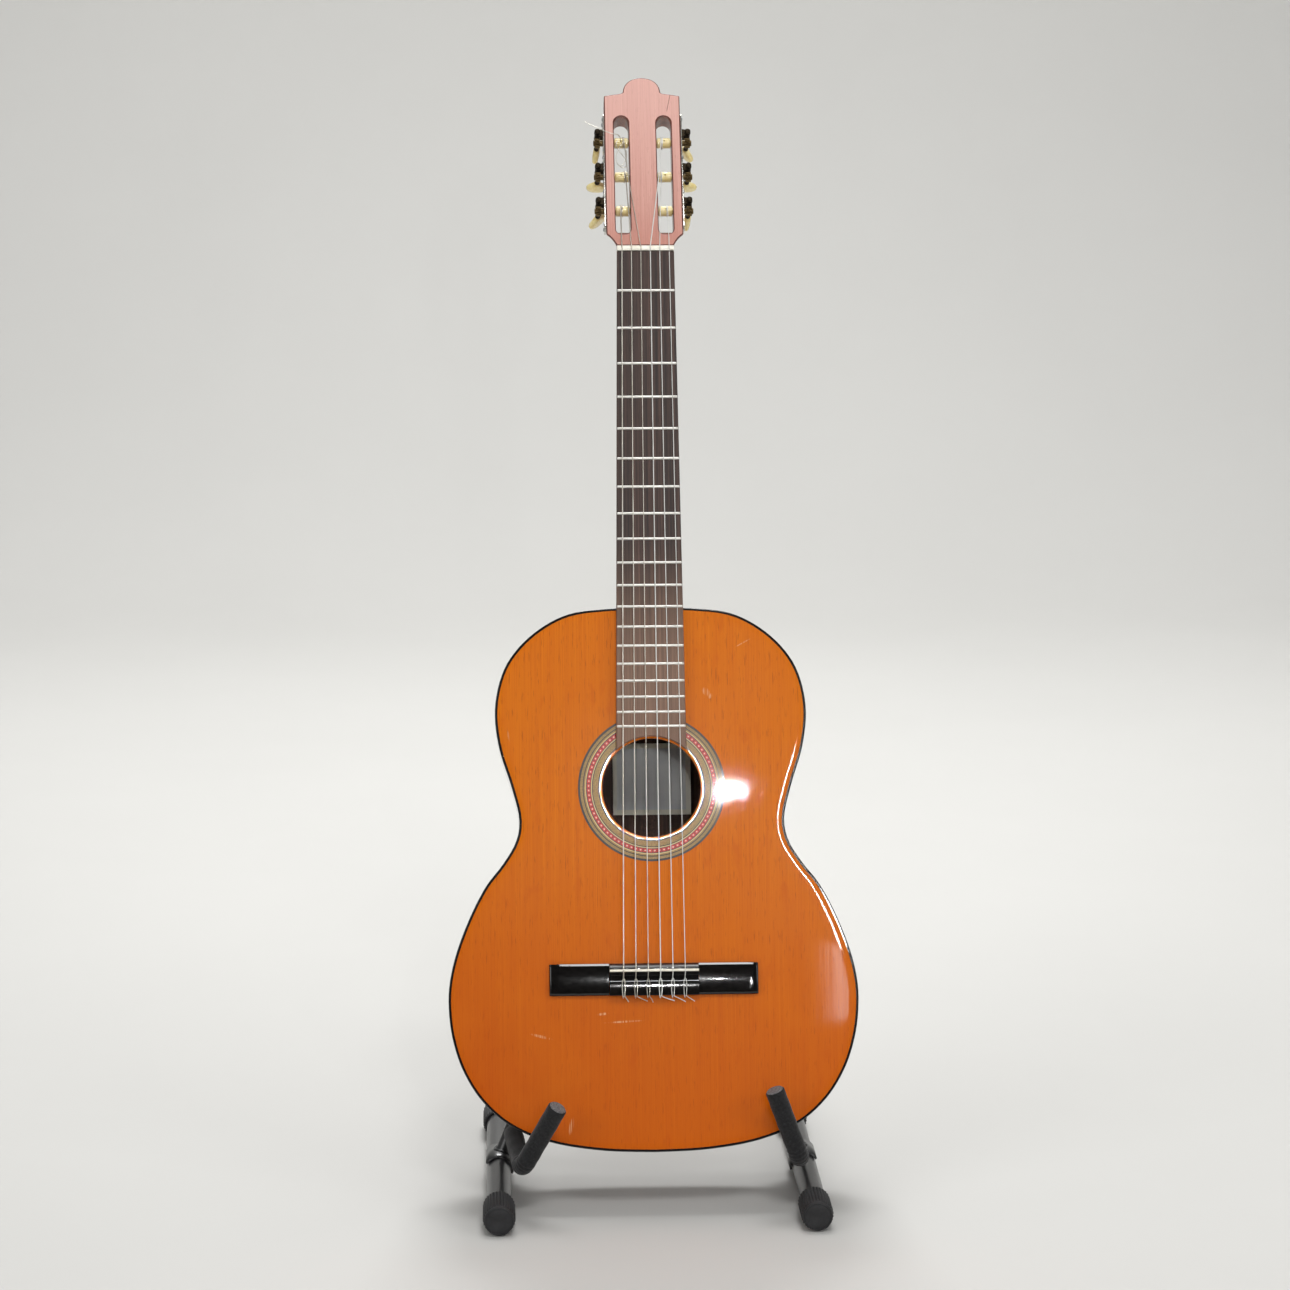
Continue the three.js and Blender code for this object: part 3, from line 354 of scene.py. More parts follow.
class Look:
    """A Principled material whose colour, roughness and bump come from procedural nodes."""

    def __init__(self, name, rough, metal=0.0, coat=0.0, coat_rough=0.04, sheen=0.0, specular=0.5):
        self.mat = bpy.data.materials.new(name)
        self.mat.use_nodes = True
        self.nodes, self.links = self.mat.node_tree.nodes, self.mat.node_tree.links
        self.bsdf = self.nodes["Principled BSDF"]
        for socket, value in {
            "Roughness": rough, "Metallic": metal, "Coat Weight": coat, "Coat Roughness": coat_rough,
            "Sheen Weight": sheen, "Specular IOR Level": specular,
        }.items():
            self.set(socket, value)
        self.coords = self.nodes.new("ShaderNodeTexCoord").outputs["Object"]

    def set(self, socket, value):
        self.bsdf.inputs[socket].default_value = value

    def feed(self, socket, source):
        if isinstance(source, (int, float)):
            socket.default_value = source
        elif isinstance(source, tuple):
            socket.default_value = (*source, 1)
        else:
            self.links.new(source, socket)

    def scaled(self, x, y, z, rotate=(0, 0, 0), shift=(0, 0, 0)):
        node = self.nodes.new("ShaderNodeMapping")
        node.inputs["Scale"].default_value = (x, y, z)
        node.inputs["Rotation"].default_value = rotate
        node.inputs["Location"].default_value = shift
        self.links.new(self.coords, node.inputs["Vector"])
        return node.outputs["Vector"]

    def at(self, place):
        """A texture's coordinates: a scale, a scale per axis, or a vector as it is."""
        if isinstance(place, (int, float)):
            place = (place,) * 3
        return self.scaled(*place) if isinstance(place, tuple) else place

    def noise(self, place, detail, rough, twist=0.0, scale=1.0):
        node = self.nodes.new("ShaderNodeTexNoise")
        self.links.new(self.at(place), node.inputs["Vector"])
        settings = {"Scale": scale, "Detail": detail, "Roughness": rough, "Distortion": twist}
        for name, value in settings.items():
            node.inputs[name].default_value = value
        return node.outputs["Fac"]

    def cells(self, place):
        node = self.nodes.new("ShaderNodeTexVoronoi")
        self.links.new(self.at(place), node.inputs["Vector"])
        node.inputs["Scale"].default_value = 1
        return node.outputs["Distance"]

    def split(self):
        node = self.nodes.new("ShaderNodeSeparateXYZ")
        self.links.new(self.coords, node.inputs[0])
        return node.outputs

    def maths(self, operation, a, b=0.0):
        node = self.nodes.new("ShaderNodeMath")
        node.operation = operation
        self.feed(node.inputs[0], a)
        self.feed(node.inputs[1], b)
        return node.outputs[0]

    def plus(self, a, b):
        return self.maths("ADD", a, b)

    def minus(self, a, b):
        return self.maths("SUBTRACT", a, b)

    def times(self, a, b):
        return self.maths("MULTIPLY", a, b)

    def gap(self, a, b):
        return self.maths("ABSOLUTE", self.minus(a, b))

    def step(self, value, low, high):
        """0 below low, 1 above high, smooth between."""
        node = self.nodes.new("ShaderNodeMapRange")
        node.interpolation_type = "SMOOTHSTEP"
        self.feed(node.inputs["Value"], value)
        node.inputs["From Min"].default_value = low
        node.inputs["From Max"].default_value = high
        return node.outputs["Result"]

    def band(self, value, low, high, soft):
        """1 between low and high."""
        return self.times(self.step(value, low - soft, low), self.step(value, high + soft, high))

    def near(self, x, y, rx, ry, turned_by):
        """1 in an ellipse of the x, y plane (mm), fading to its rim."""
        s = (1000 / rx, 1000 / ry)
        c, n = cos(turned_by), sin(turned_by)
        out = self.split()
        dx = self.minus(out[0], x * MM)
        dy = self.minus(out[1], y * MM)
        u = self.plus(self.times(dx, c * s[0]), self.times(dy, n * s[0]))
        v = self.plus(self.times(dx, -n * s[1]), self.times(dy, c * s[1]))
        far = self.plus(self.times(u, u), self.times(v, v))
        return self.step(far, 1.0, 0.0)

    def ramp(self, value, *stops):
        node = self.nodes.new("ShaderNodeValToRGB")
        ramp = node.color_ramp
        while len(ramp.elements) < len(stops):
            ramp.elements.new(0.5)
        for element, (place, colour) in zip(ramp.elements, stops):
            element.position = place
            element.color = (*colour, 1)
        self.links.new(value, node.inputs["Fac"])
        return node.outputs["Color"]

    def mix(self, factor, a, b):
        node = self.nodes.new("ShaderNodeMix")
        node.data_type = "RGBA"
        self.feed(node.inputs["Factor"], factor)
        self.feed(node.inputs[6], a)
        self.feed(node.inputs[7], b)
        return node.outputs[2]

    def tint(self, colour, mask, amount, paint):
        """The colour turned towards the paint, by the amount, where the mask is 1."""
        return self.mix(self.times(mask, amount), colour, paint)

    def colour(self, source):
        self.feed(self.bsdf.inputs["Base Color"], source)
        return self

    def rough(self, source):
        self.feed(self.bsdf.inputs["Roughness"], source)
        return self

    def bump(self, height, strength, millimetres, coat=False):
        node = self.nodes.new("ShaderNodeBump")
        node.inputs["Strength"].default_value = strength
        node.inputs["Distance"].default_value = millimetres * MM
        self.links.new(height, node.inputs["Height"])
        self.links.new(node.outputs[0], self.bsdf.inputs["Normal"])
        if coat:
            self.links.new(node.outputs[0], self.bsdf.inputs["Coat Normal"])
        return self


def srgb(r, g, b):
    """Linear colour of an sRGB colour given as 0 to 255."""
    out = []
    for value in (r, g, b):
        c = value / 255
        out.append(c / 12.92 if c <= 0.04045 else ((c + 0.055) / 1.055) ** 2.4)
    return tuple(out)


# ---------------------------------------------------------------- materials


def spruce_top():
    """Orange lacquer over straight spruce grain, redder and darker towards the tail."""
    look = Look("orange_lacquer", rough=0.34, coat=0.9, coat_rough=0.035, specular=0.12)
    fine = look.noise((1100, 5, 1100), 5, 0.6)
    wide = look.noise((140, 2.2, 140), 3, 0.5)
    flecks = look.noise(look.scaled(800, 60, 800, shift=(3, 1, 0)), 3, 0.55)
    blotch = look.noise(look.scaled(70, 28, 70, shift=(1, 5, 2)), 3, 0.6)
    cloud = look.noise((9, 6, 9), 3, 0.55)
    grain = look.ramp(fine, (0.3, srgb(208, 102, 4)), (0.52, srgb(218, 114, 6)), (0.72, srgb(226, 123, 12)))
    grain = look.tint(grain, look.step(wide, 0.42, 0.72), 0.35, srgb(206, 100, 10))
    grain = look.tint(grain, look.step(flecks, 0.58, 0.7), 0.5, srgb(150, 62, 14))
    grain = look.tint(grain, look.step(blotch, 0.55, 0.75), 0.4, srgb(198, 88, 8))
    height = look.split()[1]
    low = look.step(height, 0.34, 0.02)
    grain = look.tint(grain, low, 0.5, srgb(194, 76, 0))
    left = look.times(look.step(look.split()[0], 0.02, -0.16), low)
    grain = look.tint(grain, left, 0.3, srgb(176, 66, 4))
    grain = look.tint(grain, look.step(cloud, 0.5, 0.75), 0.2, srgb(232, 132, 26))
    for x, y, rx, ry, angle in (
        (50, 411, 3.5, 5, 0.6), (54, 407, 2, 3, -0.4), (-101, 103.5, 12, 1.6, -0.25),
        (-46, 123, 7, 1.4, 0.1), (-27, 116, 20, 1.1, 0.05), (-75, 24, 2.5, 9, -0.2), (84, 455, 9, 0.7, 0.5),
        (-128, 372, 1, 8, 0.2),
    ):
        mark = look.times(look.near(x, y, rx, ry, angle), look.step(fine, 0.45, 0.6))
        grain = look.tint(grain, mark, 0.75, srgb(240, 200, 150))
    look.colour(grain)
    look.rough(look.plus(0.26, look.times(cloud, 0.2)))
    ripple = look.plus(look.times(fine, 0.35), look.times(wide, 0.65))
    return look.bump(ripple, 0.12, 0.15, coat=True).mat


def rosette_rings():
    """Marquetry bands about the soundhole with a red and white mosaic in the middle."""
    look = Look("rosette_marquetry", rough=0.34, coat=1.0, coat_rough=0.04)
    x, y, _ = look.split()
    dy = look.minus(y, HOLE_Y * MM)
    square = look.plus(look.times(x, x), look.times(dy, dy))
    radius = look.times(look.maths("SQRT", square), 1000)
    angle = look.maths("ARCTAN2", dy, x)
    fine = look.noise(700, 4, 0.6)
    straw = look.ramp(fine, (0.3, srgb(130, 94, 36)), (0.7, srgb(172, 136, 66)))
    colour = look.mix(look.band(radius, 47.8, 66.0, 0.1), srgb(24, 16, 10), straw)
    dark, cream = srgb(28, 18, 12), srgb(214, 186, 124)
    for low, high, paint in (
        (64.4, 66.4, dark), (61.2, 61.9, dark), (59.1, 59.9, cream), (58.3, 59.0, dark), (54.6, 55.1, dark),
        (53.8, 54.5, cream), (53.0, 53.6, dark), (46.8, 47.9, dark),
    ):
        colour = look.mix(look.band(radius, low, high, 0.12), colour, paint)
    around = look.maths("FRACT", look.times(angle, MOSAIC_TILES / (2 * pi)))
    tile = look.gap(around, 0.5)
    middle = look.gap(radius, 56.7)
    diamond = look.plus(look.times(tile, 2.4), look.times(middle, 0.75))
    red = look.mix(look.step(fine, 0.4, 0.6), srgb(184, 24, 12), srgb(216, 44, 24))
    mosaic = look.mix(look.step(diamond, 0.62, 0.5), red, srgb(240, 196, 176))
    edge = look.gap(tile, 0.5)
    mosaic = look.mix(look.step(edge, 0.09, 0.04), mosaic, srgb(60, 14, 10))
    colour = look.mix(look.band(radius, 55.1, 58.3, 0.08), colour, mosaic)
    look.colour(colour)
    return look.bump(fine, 0.05, 0.1, coat=True).mat


def wood(name, dark, middle, light, rough, coat, grain=600, along=7, pores=0.4, bump=0.25,
         book=False, worn=None):
    """Straight-grained wood along y with streaks and open pores."""
    look = Look(name, rough=rough, coat=coat, coat_rough=0.06)
    vector = look.scaled(grain, along, grain)
    if book:
        x, y, z = look.split()
        node = look.nodes.new("ShaderNodeCombineXYZ")
        for socket, value in zip(node.inputs, (look.maths("ABSOLUTE", x), y, z)):
            look.feed(socket, value)
        scale = look.nodes.new("ShaderNodeVectorMath")
        scale.operation = "MULTIPLY"
        look.links.new(node.outputs[0], scale.inputs[0])
        scale.inputs[1].default_value = (grain, along, grain)
        vector = scale.outputs[0]
    fine = look.noise(vector, 5, 0.62)
    streak = look.noise(vector, 4, 0.6, 1.2, 0.16)
    pore = look.noise((1900, 60, 1900), 2, 0.5)
    colour = look.ramp(fine, (0.28, dark), (0.5, middle), (0.74, light))
    colour = look.tint(colour, look.step(streak, 0.44, 0.66), 0.7, dark)
    colour = look.tint(colour, look.step(pore, 0.6, 0.7), pores, dark)
    if worn:
        low_end = look.step(look.split()[1], 0.56, 0.42)
        colour = look.tint(colour, low_end, 0.75, look.mix(fine, middle, worn))
    look.colour(colour)
    look.rough(look.plus(rough - 0.08, look.times(fine, 0.16)))
    return look.bump(look.minus(fine, look.step(pore, 0.6, 0.7)), bump, 0.12).mat


def head_face():
    """Pinkish veneer, paler towards the crown, with one hairline crack beside it."""
    look = Look("head_face_veneer", rough=0.42, coat=0.35, coat_rough=0.2)
    fine = look.noise((1000, 9, 1000), 5, 0.62)
    streak = look.noise((190, 3, 190), 3, 0.6, 0.8)
    pore = look.noise((1500, 120, 1500), 2, 0.5)
    x, y, _ = look.split()
    colour = look.ramp(fine, (0.3, srgb(186, 128, 114)), (0.5, srgb(204, 148, 134)),
                       (0.72, srgb(214, 162, 149)))
    colour = look.tint(colour, look.step(streak, 0.46, 0.7), 0.5, srgb(190, 130, 116))
    colour = look.tint(colour, look.step(pore, 0.62, 0.7), 0.35, srgb(128, 74, 60))
    colour = look.tint(colour, look.step(y, 0.04, 0.17), 0.45, srgb(236, 190, 180))
    colour = look.tint(colour, look.step(y, 0.06, 0.0), 0.5, srgb(178, 104, 84))
    bend = look.times(look.minus(y, 0.15), 0.2)
    crack = look.gap(look.minus(x, 0.0242), bend)
    crack = look.times(look.step(crack, 0.0005, 0.0002), look.step(y, 0.142, 0.146))
    look.colour(look.tint(colour, crack, 0.7, srgb(110, 60, 48)))
    return look.bump(look.minus(fine, crack), 0.2, 0.12).mat


def lacquer_black(name, rough, chips=0.0, waves=0.06):
    look = Look(name, rough=rough, coat=0.6, coat_rough=0.03, specular=0.2)
    mottle = look.noise(260, 4, 0.6)
    colour = look.ramp(mottle, (0.3, srgb(10, 9, 9)), (0.7, srgb(24, 22, 21)))
    if chips:
        chip = look.noise(look.scaled(150, 150, 150, shift=(0.7, 0.2, 0)), 3, 0.7)
        colour = look.mix(look.step(chip, chips, chips + 0.02), colour, srgb(206, 190, 160))
    look.colour(colour)
    look.rough(look.plus(rough, look.times(mottle, 0.08)))
    ripple = look.noise((150, 90, 150), 3, 0.6)
    return look.bump(ripple, waves, 0.2, coat=True).mat


def plastic(name, low, high, rough, coat=0.2, scale=180, bump=0.1):
    """Moulded or polished material with soft clouding."""
    look = Look(name, rough=rough, coat=coat, coat_rough=0.12)
    cloud = look.noise(scale, 4, 0.55)
    fine = look.noise(2600, 3, 0.5)
    look.colour(look.ramp(cloud, (0.3, low), (0.72, high)))
    look.rough(look.plus(rough - 0.05, look.times(fine, 0.14)))
    return look.bump(fine, bump, 0.05).mat


def metal(name, low, high, rough, scale=300, scratches=0.25, tarnish=None):
    look = Look(name, rough=rough, metal=1.0)
    cloud = look.noise(scale, 5, 0.6)
    scratch = look.noise(look.scaled(4000, 500, 4000, (0.4, 0.2, 0.1)), 2, 0.5)
    colour = look.ramp(cloud, (0.32, low), (0.68, high))
    if tarnish:
        colour = look.tint(colour, look.step(cloud, 0.54, 0.66), 0.8, tarnish)
    look.colour(colour)
    look.rough(look.plus(rough, look.times(cloud, 0.2)))
    return look.bump(scratch, scratches, 0.04).mat


def painted_tube(name, low, high, rough, coat, worn=0.0):
    """Stove-enamelled steel with faint orange peel, dust and a few rubbed spots."""
    look = Look(name, rough=rough, coat=coat, coat_rough=0.06)
    peel = look.noise(420, 3, 0.5)
    dust = look.noise(46, 6, 0.7)
    colour = look.ramp(dust, (0.3, low), (0.75, high))
    if worn:
        rub = look.noise((240, 60, 240), 4, 0.7)
        colour = look.tint(colour, look.step(rub, 0.66, 0.7), worn, srgb(120, 120, 120))
    look.colour(colour)
    look.rough(look.plus(rough, look.times(dust, 0.22)))
    return look.bump(peel, 0.07, 0.2, coat=True).mat


def rubber():
    look = Look("rubber", rough=0.62, specular=0.4)
    grain = look.noise(900, 4, 0.6)
    dust = look.noise(60, 5, 0.7)
    colour = look.ramp(dust, (0.3, srgb(22, 22, 23)), (0.75, srgb(52, 52, 54)))
    look.colour(colour)
    look.rough(look.plus(0.5, look.times(dust, 0.25)))
    return look.bump(grain, 0.25, 0.2).mat


def foam():
    """Closed-cell foam tube: fine pits and shallow wrinkles across it."""
    look = Look("foam", rough=0.82, sheen=0.15, specular=0.25)
    pits = look.cells(1100)
    lint = look.noise(420, 5, 0.7)
    wrinkle = look.noise((60, 60, 260), 3, 0.6, 0.6)
    colour = look.ramp(lint, (0.35, srgb(16, 16, 17)), (0.6, srgb(34, 34, 36)), (0.85, srgb(64, 64, 66)))
    look.colour(colour)
    height = look.plus(look.times(pits, 0.5), wrinkle)
    return look.bump(height, 0.5, 0.5).mat


def paper():
    """Aged label sheet: blank, with a paler border and foxing."""
    look = Look("label_paper", rough=0.9)
    x, y, _ = look.split()
    mottle = look.noise(60, 5, 0.6)
    fibre = look.noise(900, 3, 0.6)
    colour = look.ramp(mottle, (0.3, srgb(214, 216, 216)), (0.7, srgb(228, 229, 226)))
    inner = look.times(look.band(x, -0.028, 0.035, 0.0006), look.band(y, 0.309, 0.365, 0.0006))
    look.colour(look.mix(inner, srgb(236, 232, 216), colour))
    return look.bump(fibre, 0.15, 0.1).mat


def wound():
    look = Look("wound_string", rough=0.32, metal=1.0)
    coil = look.noise((400, 3200, 400), 2, 0.5)
    tone = look.noise(60, 3, 0.5)
    look.colour(look.ramp(tone, (0.3, srgb(196, 190, 176)), (0.7, srgb(226, 222, 212))))
    return look.bump(coil, 0.5, 0.1).mat


def nylon():
    look = Look("nylon", rough=0.25, coat=0.3)
    tone = look.noise(80, 3, 0.5)
    look.colour(look.ramp(tone, (0.3, srgb(222, 222, 216)), (0.7, srgb(240, 240, 236))))
    look.set("Transmission Weight", 0.15)
    return look.bump(tone, 0.02, 0.05).mat


TOP = spruce_top()
ROSETTE = rosette_rings()
RIBS = wood("rib_mahogany", srgb(54, 22, 12), srgb(96, 44, 24), srgb(124, 62, 34),
            rough=0.22, coat=0.9, grain=500, along=6, pores=0.5, bump=0.08)
INSIDE = wood("inside_mahogany", srgb(52, 34, 27), srgb(78, 54, 43), srgb(98, 70, 57),
              rough=0.7, coat=0, grain=420, along=5, pores=0.5, bump=0.2)
BACK = wood("back_mahogany", srgb(50, 20, 11), srgb(86, 39, 21), srgb(112, 55, 30),
            rough=0.22, coat=0.9, grain=420, along=5, pores=0.5, bump=0.08, book=True)
FACE_EDGE = wood("face_edge", srgb(72, 28, 20), srgb(104, 50, 38), srgb(130, 70, 54), rough=0.4, coat=0.2)
PLUG = plastic("worn_plug", srgb(64, 64, 66), srgb(128, 128, 130), 0.6, coat=0, scale=700, bump=0.5)
NECK = wood("neck_mahogany", srgb(92, 44, 26), srgb(134, 70, 42), srgb(158, 88, 56), rough=0.34, coat=0.35)
FACE = head_face()
ROSEWOOD = wood("rosewood", srgb(30, 18, 14), srgb(66, 44, 36), srgb(98, 70, 58),
                rough=0.5, coat=0.0, grain=620, along=5, pores=0.75, bump=0.4, worn=srgb(186, 146, 120))
BINDING_BLACK = lacquer_black("black_binding", 0.14, chips=0.742)
BRIDGE_BLACK = lacquer_black("bridge_lacquer", 0.05, waves=0.15)
BONE = plastic("bone", srgb(240, 234, 214), srgb(252, 249, 238), 0.3)
IVORY = plastic("ivory_plastic", srgb(230, 204, 128), srgb(248, 234, 176), 0.25, 0.4)
RAW = wood("raw_spruce", srgb(150, 118, 76), srgb(196, 164, 114), srgb(214, 186, 138),
           rough=0.8, coat=0, grain=500, along=8, pores=0.3, bump=0.4)
SILVER = metal("fret_silver", srgb(236, 234, 226), srgb(252, 250, 246), 0.4, scratches=0.05)
PLATE = metal("plated_steel", srgb(190, 188, 180), srgb(230, 228, 222), 0.14, 200, 0.2, srgb(120, 104, 80))
BRASS = metal("aged_brass", srgb(66, 54, 36), srgb(128, 108, 74), 0.34, 500, 0.3, srgb(40, 32, 22))
WORM = metal("worm_blackened", srgb(30, 27, 24), srgb(70, 60, 46), 0.36, 500, 0.3, srgb(22, 20, 18))
ZINC = metal("zinc", srgb(130, 132, 134), srgb(182, 184, 186), 0.34, 240)
TUBE = painted_tube("tube_enamel", srgb(22, 22, 24), srgb(48, 48, 50), 0.3, 0.35)
PAINT = painted_tube("black_paint", srgb(14, 14, 15), srgb(36, 36, 38), 0.3, 0.35, 0.4)
RUBBER = rubber()
FOAM = foam()
PAPER = paper()
WOUND = wound()
NYLON = nylon()

# ---------------------------------------------------------------- guitar body


def half_outline(steps):
    """The right-hand outline as a smooth curve through its points, at even steps."""
    dense = smooth(HALF_OUTLINE, 16)
    lengths = [0]
    for a, b in zip(dense, dense[1:]):
        lengths.append(lengths[-1] + (b - a).length)
    even, k = [], 0
    for i in range(steps + 1):
        want = lengths[-1] * i / steps
        while k < len(dense) - 2 and lengths[k + 1] < want:
            k += 1
        t = (want - lengths[k]) / (lengths[k + 1] - lengths[k])
        even.append(dense[k].lerp(dense[k + 1], min(max(t, 0), 1)))
    return even


RIGHT = half_outline(120)
RING = list(reversed(RIGHT)) + [Vector((-p.x, p.y)) for p in RIGHT[1:-1]]


def outline(inset):
    out = []
    for i, point in enumerate(RING):
        along = (RING[(i + 1) % len(RING)] - RING[i - 1]).normalized()
        out.append(Vector((point.x - along.y * inset, point.y + along.x * inset)))
    return out


def back_z(y):
    return -(DEPTH_TAIL + (DEPTH_HEEL - DEPTH_TAIL) * y / BODY_LENGTH)


def hoop(section):
    """A hoop round the body from [inset, height, height is from the back]."""
    rings = [[(p.x, p.y, back_z(p.y) + z if back else z) for p in outline(inset)] for inset, z,
             back in section]
    return skin(rings, loop=True)


def make_top():
    """The soundboard: rounded at its edge, with a seat for the rosette and the soundhole's soft rim."""
    rim = outline(BINDING + SEAM)
    centre = Vector((0, HOLE_Y))
    ring_in, ring_out = ROSETTE_IN - 0.1, ROSETTE_OUT + 0.1
    headings = [(p - centre).normalized() for p in rim]

    def about_hole(radius, z):
        return [(*(centre + h * radius), z) for h in headings]

    rings = [[(p.x, p.y, -TOP_THICK) for p in rim]]
    for inset, drop in ((0, 0.34), (0.8, 0.24), (1.8, 0.15), (3, 0.08), (4.5, 0.03), (7, 0.005),
                        (FLAT_FROM, 0)):
        rings.append([(p.x, p.y, -drop) for p in outline(BINDING + SEAM + inset)])
    rim = outline(BINDING + FLAT_FROM)
    headings = [(p - centre).normalized() for p in rim]
    for share in (0.25, 0.5, 0.75):
        rings.append([(*(p.lerp(centre + h * (ring_out), share)), 0) for p, h in zip(rim, headings)])
    rings += [
        about_hole(ring_out, 0), about_hole(ring_out, -0.9), about_hole(ring_in, -0.9),
        about_hole(ring_in, 0), about_hole(HOLE_R + 0.9, 0), about_hole(HOLE_R + 0.4, -0.12),
        about_hole(HOLE_R + 0.1, -0.4), about_hole(HOLE_R, -0.9), about_hole(HOLE_R, -TOP_THICK),
    ]
    board = build("spruce_top", skin(rings, loop=True), GUITAR, TOP, edge=50)
    settle(board, "guitar", "top", "soundboard")
    profile = [(ROSETTE_IN, -0.8), (ROSETTE_OUT, -0.8), (ROSETTE_OUT, 0), (ROSETTE_IN, 0)]
    ring = moved(lathe(profile, 128), 0, HOLE_Y, 0, turn("X", pi / 2))
    settle(build("rosette_ring", ring, GUITAR, ROSETTE), "guitar", "inlay", "rosette")


def make_hoops():
    """The bindings, the ribs and the kerfed linings inside them."""
    w, d = BINDING, BINDING_DEEP
    front = [(w, -d, False), (0, -d, False), (0, -1.3, False), (0.1, -0.8, False), (0.35, -0.48, False),
             (0.8, -0.33, False), (1.2, -0.32, False), (w, -0.3, False)]
    back = [(w, 0, True), (1.2, 0, True), (0.8, 0.03, True), (0.35, 0.25, True), (0.1, 0.6, True),
            (0, 1.1, True), (0, d, True), (w, d, True)]
    for name, section in (("front", front), ("back", back)):
        binding = build(f"binding_{name}", hoop(section), GUITAR, BINDING_BLACK, edge=50)
        settle(binding, "guitar", "binding", f"{name}_binding")
    ribs = [(0, d + SEAM, True), (0, -d - SEAM, False), (RIB_THICK, -d - SEAM, False),
            (RIB_THICK, -2.9, False), (2.8, -2.9, False), (2.8, BACK_THICK + 0.3, True),
            (RIB_THICK, BACK_THICK + 0.3, True), (RIB_THICK, d + SEAM, True)]
    settle(build("ribs", hoop(ribs), GUITAR, RIBS), "guitar", "rib_wood", "side_ribs")
    inner, foot, wall = outline(9), outline(3.2), outline(2.85)
    for name, near, far, from_back in (("front", -2.9, -18.9, False), ("back", 3.1, 19.1, True)):
        blocks = []
        for i in range(len(RING) - 1):
            rings = []
            for here, other in ((i, i + 1), (i + 1, i)):
                corners = [(points[here].lerp(points[other], KERF), z)
                           for points, z in ((wall, near), (inner, near), (foot, far), (wall, far))]
                rings.append([(p.x, p.y, back_z(p.y) + z if from_back else z) for p, z in corners])
            blocks.append(skin(rings))
        lining = build(f"lining_{name}", merged(*blocks), GUITAR, RAW)
        settle(lining, "guitar", "raw_spruce")


def make_back():
    """The back board, lacquered outside only, with the strip along its middle."""
    rim = outline(BINDING + SEAM)
    inner = outline(BINDING + 0.5)
    rings = []
    for points, lift in ((inner, BACK_THICK), (rim, BACK_THICK), (rim, 0.15), (inner, 0)):
        rings.append([(p.x, p.y, back_z(p.y) + lift) for p in reversed(points)])
    board = build("back_board", skin(rings), GUITAR, BACK)
    board.data.materials.append(INSIDE)
    for face in board.data.polygons:
        face.material_index = 1 if face.normal.z > 0.5 else 0
    settle(board, "guitar", "rib_wood", "back_panel")
    strip = [[(x, y, back_z(y) + z) for x, z in ((-1.4, -0.02), (1.4, -0.02), (1.4, 0.6), (-1.4, 0.6))]
             for y in (RIB_THICK, BODY_LENGTH - RIB_THICK)]
    settle(build("back_strip", skin(strip), GUITAR, BINDING_BLACK), "guitar", "binding")


def make_inside():
    """Bracing and blocks keep their CAD shape; the blank label becomes a thin, slightly lifted sheet."""
    kept = {"front_bracing": RAW, "back_bracing": INSIDE, "neck_block": NECK, "tail_block": NECK}
    for node, material in kept.items():
        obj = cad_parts[node]
        obj.data.materials.clear()
        obj.data.materials.append(material)
        bevelled(obj, 0.8)
    rings = []
    for j in range(LABEL_STEPS + 1):
        y = LABEL_Y[0] + (LABEL_Y[1] - LABEL_Y[0]) * j / LABEL_STEPS
        ring = []
        for i in range(LABEL_STEPS + 1):
            x = LABEL_X[0] + (LABEL_X[1] - LABEL_X[0]) * i / LABEL_STEPS
            curl = 0.5 * max(0, (x - LABEL_LIFTS) / (LABEL_X[1] - LABEL_LIFTS)) ** 2
            curl += 0.12 * sin(x * 0.21) * sin(y * 0.17)
            ring.append((x, y, back_z(y) + BACK_THICK + 3.25 + curl))
        rings.append(ring + [(x, y, z - 0.12) for x, y, z in reversed(ring)])
    settle(build("label_sheet", skin(rings), GUITAR, PAPER), "guitar", "paper", "label")


make_top()
make_hoops()
make_back()
make_inside()

# ---------------------------------------------------------------- bridge


def string_x(index, spacing):
    return (index - 2.5) * spacing


def string_look(index):
    """Material and slot: the three bass strings are wound."""
    return (WOUND, "wound_string") if index < 3 else (NYLON, "nylon")


